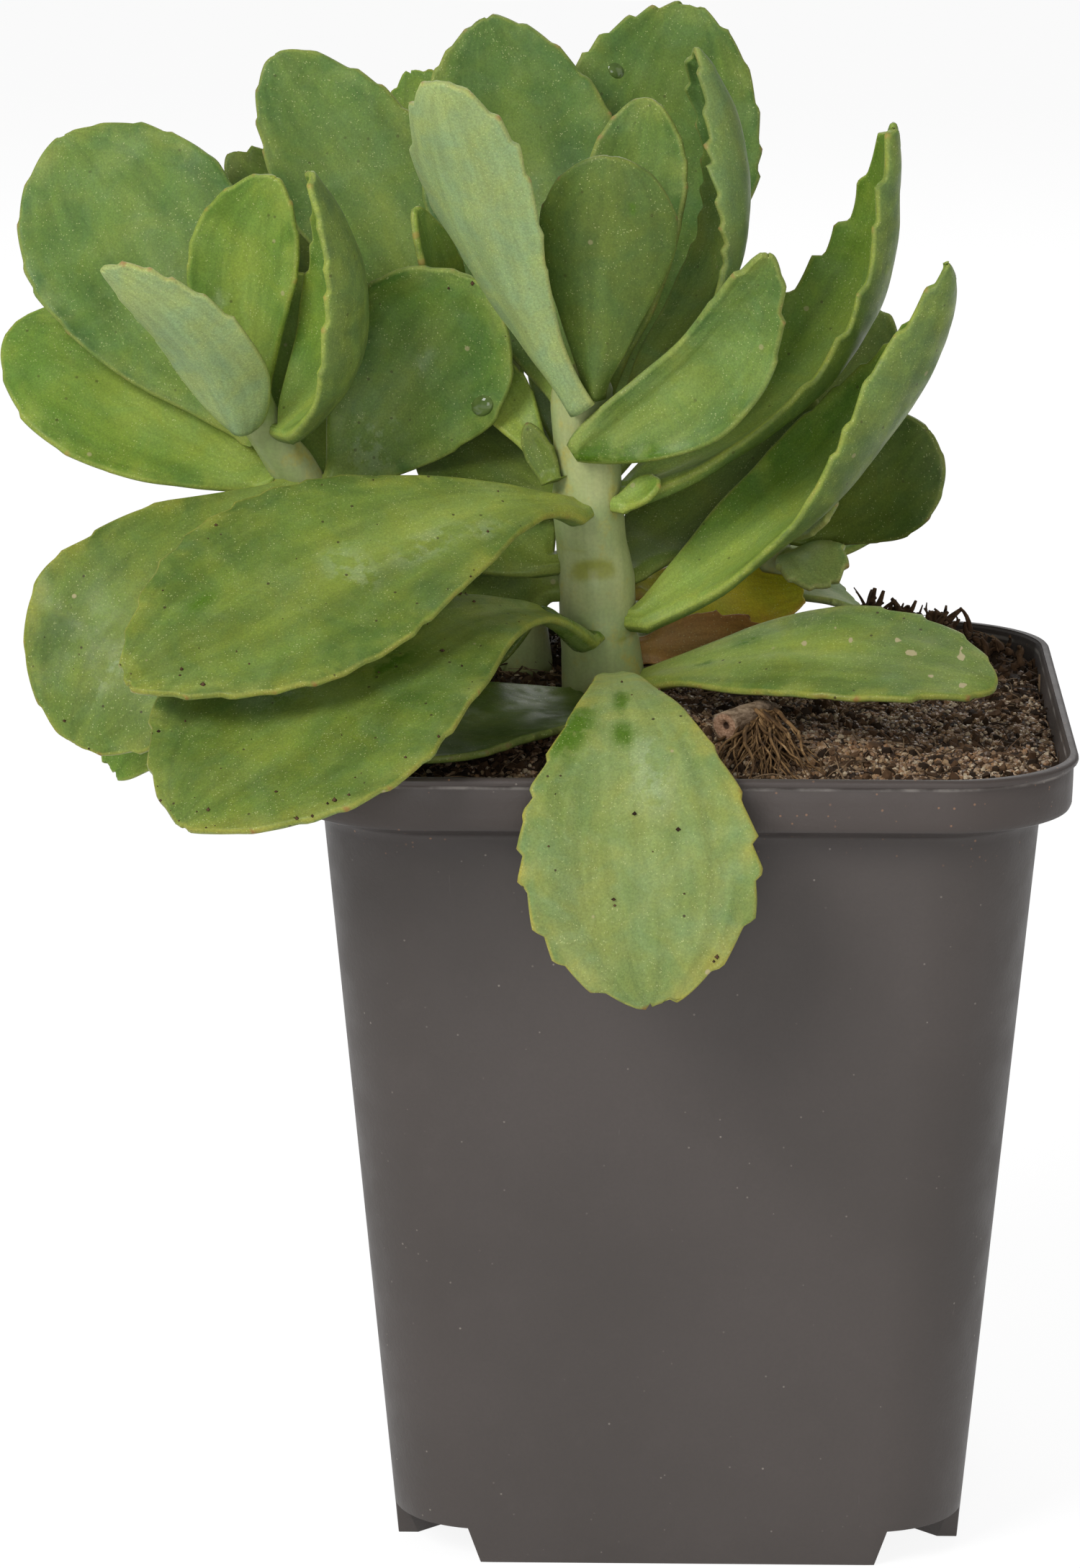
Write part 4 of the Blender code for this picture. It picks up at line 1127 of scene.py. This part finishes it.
def into_pot(x, y, half):
    """Pulls a point of a square of the given half width inside its round corners."""
    radius = CORNER_RATIO * half
    flat = half - radius
    reach = max(abs(x), abs(y), 1e-9)
    dx, dy = abs(x) / reach, abs(y) / reach
    if min(dx, dy) * half <= flat:
        return x, y
    b = -(flat * (dx + dy))
    a = dx * dx + dy * dy
    c = 2 * flat * flat - radius * radius
    k = (-b + sqrt(max(b * b - a * c, 0.0))) / a
    return x * k / half, y * k / half


def sandiness(x, y):
    """How much pale sand shows: most at the front right, little behind and under the leaves."""
    patch = 0.75 + 0.7 * rough((x, y, 0), 12.0, 4.0)
    front = float(smooth(40.0, -10.0, y)) * float(smooth(-45.0, 5.0, x) * 0.7 + 0.3)
    return min(max(front * (0.45 + patch), 0.05), 1.0)


def build_soil(ground):
    """A block of peat with a crumbly top."""
    count = SOIL_CELLS + 1
    vertices, sand, open_air = [], [], []
    for i in range(count):
        for j in range(count):
            a = (2 * j / SOIL_CELLS - 1) * SOIL_HALF
            b = (2 * i / SOIL_CELLS - 1) * SOIL_HALF
            x, y = into_pot(a, b, SOIL_HALF)
            edge = 1 - max(abs(a), abs(b)) / SOIL_HALF
            lump = 1.1 * rough((x, y, 0), 8.0, 1.0) + 0.75 * rough((x, y, 0), 2.6, 2.0)
            lump += 0.4 * rough((x, y, 0), 1.2, 3.0)
            dip = -1.6 * exp(-edge * SOIL_HALF / 3.0)
            vertices.append((x, y, soil_height(x, y) - 0.5 + lump * min(1.0, edge * 12) + dip))
            sand.append(sandiness(x, y))
            open_air.append(1.0 - 0.6 * sand[-1])
    index = np.arange(count * count).reshape(count, count)
    faces = grid_faces(index)
    rim = [*index[0], *index[1:, -1], *index[-1, -2::-1], *index[-2:0:-1, 0]]
    rim = [int(k) for k in rim]
    previous = rim
    for half, height in ((SOIL_HALF, 111.8), (inner_half(STEP_BOTTOM) - 0.1, 110.4),
                         (inner_half(7.0) - 0.1, 7.0)):
        ring = []
        for k in rim:
            x, y, _ = vertices[k]
            ring.append(len(vertices))
            vertices.append((x * half / SOIL_HALF, y * half / SOIL_HALF, height))
            sand.append(0.0)
            open_air.append(0.0)
        for k in range(len(rim)):
            n = (k + 1) % len(rim)
            faces.append((previous[n], previous[k], ring[k], ring[n]))
        previous = ring
    faces.append(tuple(previous))
    return outward(new_piece("soil_block", vertices, faces, ground, sand=sand,
                             open_air=open_air))


# ==== scattered copies ====
ANY_WAY = 3.1                   # radians of tumble


def scatter_tree():
    """Geometry nodes: copies picked from a collection, strewn over a surface and made real.

    where names the field that thins them out and density is how many lie on a square metre.
    """
    tree = bpy.data.node_groups.new("strewn copies", "GeometryNodeTree")
    for name, kind in (("surface", "Geometry"), ("shapes", "Collection"), ("where", "String"),
                       ("density", "Float"), ("smallest", "Float"), ("largest", "Float"),
                       ("tumble", "Float"), ("seed", "Int"), ("material", "Material")):
        tree.interface.new_socket(name, in_out="INPUT", socket_type="NodeSocket" + kind)
    tree.interface.new_socket("copies", in_out="OUTPUT", socket_type="NodeSocketGeometry")

    def add(kind, inputs=(), **settings):
        return add_node(tree, kind, inputs, **settings).outputs

    given = add("NodeGroupInput")
    where = add("GeometryNodeInputNamedAttribute", {"Name": given["where"]}, data_type="FLOAT")
    density = add("ShaderNodeMath", {0: where["Attribute"], 1: given["density"]},
                  operation="MULTIPLY")
    strewn = add("GeometryNodeDistributePointsOnFaces", {
        "Mesh": given["surface"], "Density": density[0], "Seed": given["seed"]},
        distribute_method="RANDOM")
    shapes = add("GeometryNodeCollectionInfo", {
        "Collection": given["shapes"], "Separate Children": True, "Reset Children": True})
    most = add("ShaderNodeCombineXYZ", {0: given["tumble"], 1: given["tumble"], 2: pi})
    least = add("ShaderNodeVectorMath", {0: most[0], "Scale": -1.0}, operation="SCALE")
    spin = add("FunctionNodeRandomValue", {0: least[0], 1: most[0], "Seed": given["seed"]},
               data_type="FLOAT_VECTOR")
    turned = add("FunctionNodeEulerToRotation", {0: spin[0]})
    rotation = add("FunctionNodeRotateRotation", {0: strewn["Rotation"], 1: turned[0]},
                   rotation_space="LOCAL")
    size = add("FunctionNodeRandomValue", {2: given["smallest"], 3: given["largest"]},
               data_type="FLOAT")
    pick = add("FunctionNodeRandomValue", {4: 0, 5: 1000}, data_type="INT")
    copies = add("GeometryNodeInstanceOnPoints", {
        "Points": strewn["Points"], "Instance": shapes[0], "Pick Instance": True,
        "Instance Index": pick[2], "Rotation": rotation[0], "Scale": size[1]})
    shade = add("FunctionNodeRandomValue", {"Seed": 77}, data_type="FLOAT")
    stored = add("GeometryNodeStoreNamedAttribute", {
        "Geometry": copies[0], "Name": "shade", "Value": shade[1]},
        data_type="FLOAT", domain="INSTANCE")
    real = add("GeometryNodeRealizeInstances", {0: stored[0]})
    coated = add("GeometryNodeSetMaterial", {"Geometry": real[0], "Material": given["material"]})
    add("NodeGroupOutput", {0: coated[0]})
    return tree


def strew(name, tree, surface, shapes, material, flat=True, tumble=ANY_WAY, **values):
    """Runs the scatter tree over the soil and keeps the copies as one plain mesh."""
    collection = bpy.data.collections.new(name + " shapes")
    for mesh in shapes:
        collection.objects.link(bpy.data.objects.new(mesh.name, mesh))
    host = add_object(name, surface.data)
    tool = host.modifiers.new("strewn", "NODES")
    tool.node_group = tree
    names = {item.name: item.identifier for item in tree.interface.items_tree
             if item.item_type == "SOCKET" and item.in_out == "INPUT"}
    values.update(shapes=collection, material=material, tumble=tumble)
    for key, value in values.items():
        tool[names[key]] = value
    bake_modifiers(host)
    host.data.materials.clear()
    host.data.materials.append(material)
    host.data.name = name
    if flat:
        host.data.shade_flat()
    for item in list(collection.objects):
        bpy.data.objects.remove(item, do_unlink=True)
    bpy.data.collections.remove(collection)
    settle(host, None)


def grain_mesh(seed, jitter=0.22, squash=(1.0, 1.0, 1.0)):
    """A small angular lump, 1 mm across before it is scaled."""
    draw = random.Random(seed)
    bm = bmesh.new()
    bmesh.ops.create_icosphere(bm, subdivisions=1, radius=0.5 * MM)
    for vert in bm.verts:
        k = 1 + draw.uniform(-jitter, jitter)
        vert.co = Vector(c * s * k for c, s in zip(vert.co, squash))
    return mesh_of(bm, "lump %d" % seed)


FIBRE_RINGS = 6
FIBRE_SIDES = 3


def fibre_mesh(seed):
    """A bent hair of peat, 1 mm long before it is scaled."""
    draw = random.Random(seed)
    bend = [Vector((draw.uniform(-0.22, 0.22), draw.uniform(-0.22, 0.22),
                    draw.uniform(-0.02, 0.16))) for _ in range(2)]
    ends = [Vector((-0.5, 0, 0)), Vector((0.5, 0, draw.uniform(0.0, 0.15)))]
    bm = bmesh.new()
    for i in range(FIBRE_RINGS):
        s = i / (FIBRE_RINGS - 1)
        middle = (ends[0] * (1 - s) ** 3 + (ends[0] * 0.5 + bend[0]) * 3 * s * (1 - s) ** 2
                  + (ends[1] * 0.5 + bend[1]) * 3 * s * s * (1 - s) + ends[1] * s ** 3)
        radius = 0.035 * (1 - 0.75 * s)
        for k in range(FIBRE_SIDES):
            turn = tau * k / FIBRE_SIDES
            reach = Vector((0, radius * cos(turn), radius * sin(turn)))
            bm.verts.new((middle + reach) * MM)
    bm.verts.ensure_lookup_table()
    for face in tube_faces(FIBRE_RINGS, FIBRE_SIDES):
        bm.faces.new([bm.verts[k] for k in face])
    bmesh.ops.recalc_face_normals(bm, faces=bm.faces)
    return mesh_of(bm, "fibre %d" % seed)


# ==== strands, twig and odds and ends ====
STRAND_SIDES = 5


def strand(points, thick, taper):
    """Vertices and faces of a thin closed tube along points in mm, which narrows to its end."""
    points = np.array(points, float)
    tangents = unit(np.gradient(points, axis=0))
    helper = np.array([0.0, 0.0, 1.0])
    if abs(tangents[0] @ helper) > 0.8:
        helper = np.array([1.0, 0.0, 0.0])
    vertices = []
    for place, tangent, radius in zip(points, tangents,
                                      np.linspace(thick, thick * taper, len(points))):
        a = unit(np.cross(tangent, helper))
        b = np.cross(tangent, a)
        vertices += [place + out * radius for _, out in around(a, b, STRAND_SIDES)]
    return vertices, tube_faces(len(points), STRAND_SIDES)


def bundle(name, strands, material):
    """One piece from many tubes."""
    vertices, faces = [], []
    for v, f in strands:
        start = len(vertices)
        vertices += list(v)
        faces += [tuple(k + start for k in face) for face in f]
    return outward(new_piece(name, vertices, faces, material))


def bezier(a, b, c, steps):
    s = np.linspace(0, 1, steps)[:, None]
    a, b, c = (np.array(p, float) for p in (a, b, c))
    return a * (1 - s) ** 2 + b * 2 * s * (1 - s) + c * s ** 2


TWIG_SIDES = 28


def build_twig(wood):
    """A snapped twig: rough bark, a ringed end with a pit, and the far end broken ragged."""
    line = spline_points(TWIG_PATH, 14)
    tangents = unit(np.gradient(line, axis=0))
    vertices, ring_field = [], []
    a = unit(np.cross(tangents[0], [0, 0, 1.0]))
    b = np.cross(a, tangents[0])
    face_rings = [(0.0, 0.9, 2.0), (0.22, 0.75, 2.0), (0.34, 0.1, 1.2), (0.62, -0.08, 1.0),
                  (0.84, 0.05, 1.0), (0.93, -0.05, 0.3)]
    for share, sink, field in face_rings:
        for turn, out in around(a, b, TWIG_SIDES):
            reach = TWIG_RADIUS * share * (1 + 0.08 * rough((cos(turn), sin(turn), 0),
                                                            0.8, 5.0))
            vertices.append(line[0] + tangents[0] * sink + out * max(reach, 0.02))
            ring_field.append(field)
    for i, (place, tangent) in enumerate(zip(line, tangents)):
        side = unit(np.cross(tangent, [0, 0, 1.0]))
        over = np.cross(side, tangent)
        fade = 1.0 - 0.55 * max(0.0, i / len(line) - 0.75) * 4
        for _, out in around(side, over, TWIG_SIDES):
            skin = TWIG_RADIUS * fade
            skin *= 1 + 0.06 * rough(place * 0.5 + out * 3.0, 1.4, 6.0)
            skin += 0.1 * rough(place * 0.2 + out * 6.0, 1.0, 7.0)
            vertices.append(place + out * skin)
            ring_field.append(0.0)
    faces = tube_faces(len(vertices) // TWIG_SIDES, TWIG_SIDES)
    return outward(new_piece("twig_wood", vertices, faces, wood, ring=ring_field))


SPLINTERS = 84
SPLINTER_ROOT = (10.0, -22.5, 119.4)
SPLINTER_STEPS = 15


def build_splinters(fibre):
    """Torn bark and roots that splay from the twig's far end and lie over the soil."""
    draw = random.Random(5)
    strands = []
    start = np.array(SPLINTER_ROOT)
    for _ in range(SPLINTERS):
        reach = draw.uniform(7.0, 27.0)
        turn = radians(draw.gauss(5.0, 13.0))
        end = start + np.array([sin(turn) * reach, -cos(turn) * reach, 0])
        end[2] = soil_height(end[0], end[1]) + draw.uniform(-0.3, 0.8)
        first = start + wander(draw, (-1.2, 3.6), (-2.0, 2.0), (-1.6, 1.2))
        middle = (first + end) / 2 + wander(draw, (-2, 2), (-2, 2), (0.0, 2.2))
        thick = draw.uniform(0.1, 0.46)
        points = bezier(first, middle, end, SPLINTER_STEPS)
        swing, waves, phase = draw.uniform(0.3, 1.3), draw.uniform(0.8, 2.4), draw.uniform(0, 6)
        for k, point in enumerate(points):
            share = k / (SPLINTER_STEPS - 1)
            point[0] += swing * sin(phase + waves * pi * share) * min(1, 3 * share)
            point[2] += 0.4 * swing * cos(phase + 1.7 * waves * pi * share)
        points += np.array([wander(draw, *[(-0.16, 0.16)] * 3) for _ in points])
        strands.append(strand(points, thick, 0.3))
    return bundle("twig_splinters", strands, fibre)


# place in mm, spread in mm and how many spikes of each clod
CLODS = [(28.5, 44.0, 1.6, 60), (33.5, 45.0, 1.0, 12), (42.0, 45.5, 2.6, 40),
         (48.0, 36.0, 2.0, 16), (38.0, 47.0, 3.0, 14)]


def build_clods(peat):
    """Spiky clods of peat that stand over the rim at the back right."""
    draw = random.Random(21)
    strands = []
    for x, y, spread, count in CLODS:
        for _ in range(count):
            a, b = x + draw.gauss(0, spread), y + draw.gauss(0, 1.8)
            a, b = into_pot(max(-51, min(51, a)), max(-51, min(51, b)), 51.0)
            ground = soil_height(a, b) - 0.6 + 1.2 * exp(-((a - x) / spread) ** 2)
            reach = draw.uniform(0.5, 1.8) * draw.choice((1.0, 1.0, 1.0, 2.2))
            lean, turn = draw.uniform(0.4, 1.5), draw.uniform(0, 2 * pi)
            end = np.array([a + reach * sin(lean) * cos(turn),
                            b + 0.6 * reach * sin(lean) * sin(turn),
                            ground + 0.6 + reach * cos(lean)])
            middle = (np.array([a, b, ground]) + end) / 2 + wander(draw, *[(-0.9, 0.9)] * 3)
            thick = draw.uniform(0.2, 0.9)
            strands.append(strand(bezier((a, b, ground), middle, end, 6), thick, 0.35))
    return bundle("peat_clods", strands, peat)


ROOTLETS = 150


def build_rootlets(fibre):
    """Fine pale roots and stalks that stand out of the soil."""
    draw = random.Random(9)
    strands = []
    for _ in range(ROOTLETS):
        x, y = draw.uniform(-49, 49), draw.uniform(-49, 49)
        x, y = into_pot(x, y, 50.0)
        z = soil_height(x, y)
        reach, turn = draw.uniform(3.0, 11.0), draw.uniform(0, 2 * pi)
        end = np.array([x + reach * cos(turn), y + reach * sin(turn), 0])
        if max(abs(end[0]), abs(end[1])) > 51.5:
            continue
        end[2] = soil_height(end[0], end[1]) + draw.uniform(-0.6, 1.0)
        top = (np.array([x, y, z]) + end) / 2 + wander(draw, (-2, 2), (-2, 2), (0.5, 3.2))
        thick = draw.uniform(0.06, 0.17)
        strands.append(strand(bezier((x, y, z - 0.5), top, end, 8), thick, 0.5))
    return bundle("rootlets", strands, fibre)


# ==== stage ====
FLOOR_HALF = 9.0                # metres
FLOOR_GLOW = 1.12
SKY_GLOW = 0.33
# name, place, what it points at, width in metres and power in watts
LAMPS = [("key", (-0.75, -0.85, 0.95), (-0.01, 0, 0.12), 0.6, 14.0),
         ("fill", (1.0, -0.75, 0.45), (0, 0, 0.1), 0.9, 2.2),
         ("front", (-0.05, -1.25, 0.22), (0, 0, 0.12), 0.5, 3.4),
         ("rear", (0.1, 1.0, 0.9), (0, 0, 0.12), 0.9, 5.0)]
WHITE = (1.0, 1.0, 1.0, 1.0)


def build_floor():
    """A wide white floor that glows a little where the camera sees it."""
    bm = bmesh.new()
    bmesh.ops.create_grid(bm, x_segments=1, y_segments=1, size=FLOOR_HALF)
    floor = add_object("floor", mesh_of(bm, "floor"))
    f = Finish("pale floor", Roughness=0.9, Specular_IOR_Level=0.0)
    f.colour = (0.8, 0.8, 0.8)
    glow = f.add("Emission", {"Color": (1.0, 1.0, 1.0), "Strength": FLOOR_GLOW})
    path = f.add("LightPath").outputs
    seen = f.maths("MAXIMUM", path["Is Camera Ray"], path["Is Glossy Ray"])
    seen = f.maths("MAXIMUM", seen, path["Is Transmission Ray"])
    blend = f.add("MixShader", {0: f.times(seen, 0.8), 1: f.shader.outputs[0],
                                2: glow.outputs[0]})
    set_input(f.tree, f.tree.nodes["Material Output"].inputs["Surface"], blend.outputs[0])
    floor.data.materials.append(f.finish())


def add_lamp(name, place, aim, width, power):
    data = tune(bpy.data.lights.new(name, "AREA"), shape="SQUARE", size=width, energy=power)
    turn = (Vector(aim) - Vector(place)).to_track_quat("-Z", "Y").to_euler()
    tune(add_object(name, data), location=place, rotation_euler=turn)


def build_studio():
    world = bpy.data.worlds.new("studio")
    world.use_nodes = True
    sky = world.node_tree.nodes["Background"]
    sky.inputs["Color"].default_value = WHITE
    sky.inputs["Strength"].default_value = SKY_GLOW
    bpy.context.scene.world = world
    for lamp in LAMPS:
        add_lamp(*lamp)


CAMERA_PLACE = (0.0, -0.875, 0.3082)
CAMERA_DOWN = 13.1              # degrees below the horizon
CAMERA_LEFT = 1.341             # degrees
CAMERA_LENS = 142.3


def build_camera():
    data = tune(bpy.data.cameras.new("camera"), lens=CAMERA_LENS, sensor_width=36.0,
                clip_start=0.01)
    turn = (radians(90 - CAMERA_DOWN), 0, radians(CAMERA_LEFT))
    bpy.context.scene.camera = tune(add_object("camera", data), location=CAMERA_PLACE,
                                    rotation_euler=turn)


def main():
    build_camera()
    build_studio()
    build_floor()
    bpy.context.scene.view_settings.view_transform = "Standard"

    settle(build_pot(pot_plastic()), "pot")
    soil = settle(build_soil(soil_ground()), "soil")
    green = stem_skin()
    for name in STEMS:
        settle(build_stem(name, green), name + "_stem")
    skins = {name: leaf_skin(name) for name in SKINS}
    blades = {}
    for name, lf in LEAVES.items():
        blades[name] = settle(build_leaf(name, lf, skins[lf.skin]), name)

    tree = scatter_tree()
    sand = loose_bits("sand grains", [
        (0.25, 0.15, 0.075), (0.36, 0.24, 0.13), (0.19, 0.1, 0.045), (0.52, 0.41, 0.27),
        (0.3, 0.165, 0.075), (0.09, 0.05, 0.025)], 0.45, 0.5)
    peat = loose_bits("peat crumbs", [(0.03, 0.016, 0.007), (0.065, 0.034, 0.016),
                                      (0.105, 0.058, 0.029), (0.018, 0.01, 0.005)], 0.9, 0.2)
    fibre = loose_bits("peat fibre", [(0.06, 0.034, 0.018), (0.12, 0.07, 0.038),
                                      (0.21, 0.14, 0.08), (0.035, 0.02, 0.012)], 0.85, 0.2)
    grains, fine_grains = [grain_mesh(k) for k in range(8)], [grain_mesh(k) for k in range(60, 68)]
    lumps = [grain_mesh(k, 0.35, (1.2, 0.9, 0.7)) for k in range(20, 28)]
    hairs = [fibre_mesh(k) for k in range(40, 48)]
    strew("sand_grains", tree, soil, grains, sand,
          where="sand", density=1.35e6, smallest=0.35, largest=1.1, seed=3)
    strew("fine_sand", tree, soil, fine_grains, sand,
          where="sand", density=1.3e6, smallest=0.35, largest=0.9, seed=13)
    strew("peat_crumbs", tree, soil, lumps, peat,
          where="open_air", density=4.5e5, smallest=0.5, largest=2.2, seed=5)
    strew("peat_fibres", tree, soil, hairs, fibre, flat=False,
          where="open_air", density=1.6e5, smallest=2.0, largest=7.0, tumble=0.5, seed=8)
    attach(build_drops(clear_water()), BODY)
    settle(build_twig(twig_wood()), "twig")
    straw = loose_bits("root straw", [(0.045, 0.024, 0.011), (0.11, 0.058, 0.022),
                                      (0.22, 0.125, 0.05), (0.36, 0.23, 0.11)], 0.8, 0.25)
    paint_shade(settle(build_splinters(straw), None), 3, 0.9)
    paint_shade(settle(build_rootlets(fibre), None), 4)
    paint_shade(settle(build_clods(peat), None), 6, 1.2)
    paint_shade(settle(build_dirt(peat, blades), None), 7, 1.2)


def paint_shade(piece, seed, size=3.0):
    """A colour number for every vertex, the same within a short stretch."""
    places = [v.co / MM for v in piece.data.vertices]
    paint_points(piece, shade=[0.5 + 0.6 * rough(p, size, seed) for p in places])


main()
bpy.context.view_layer.update()
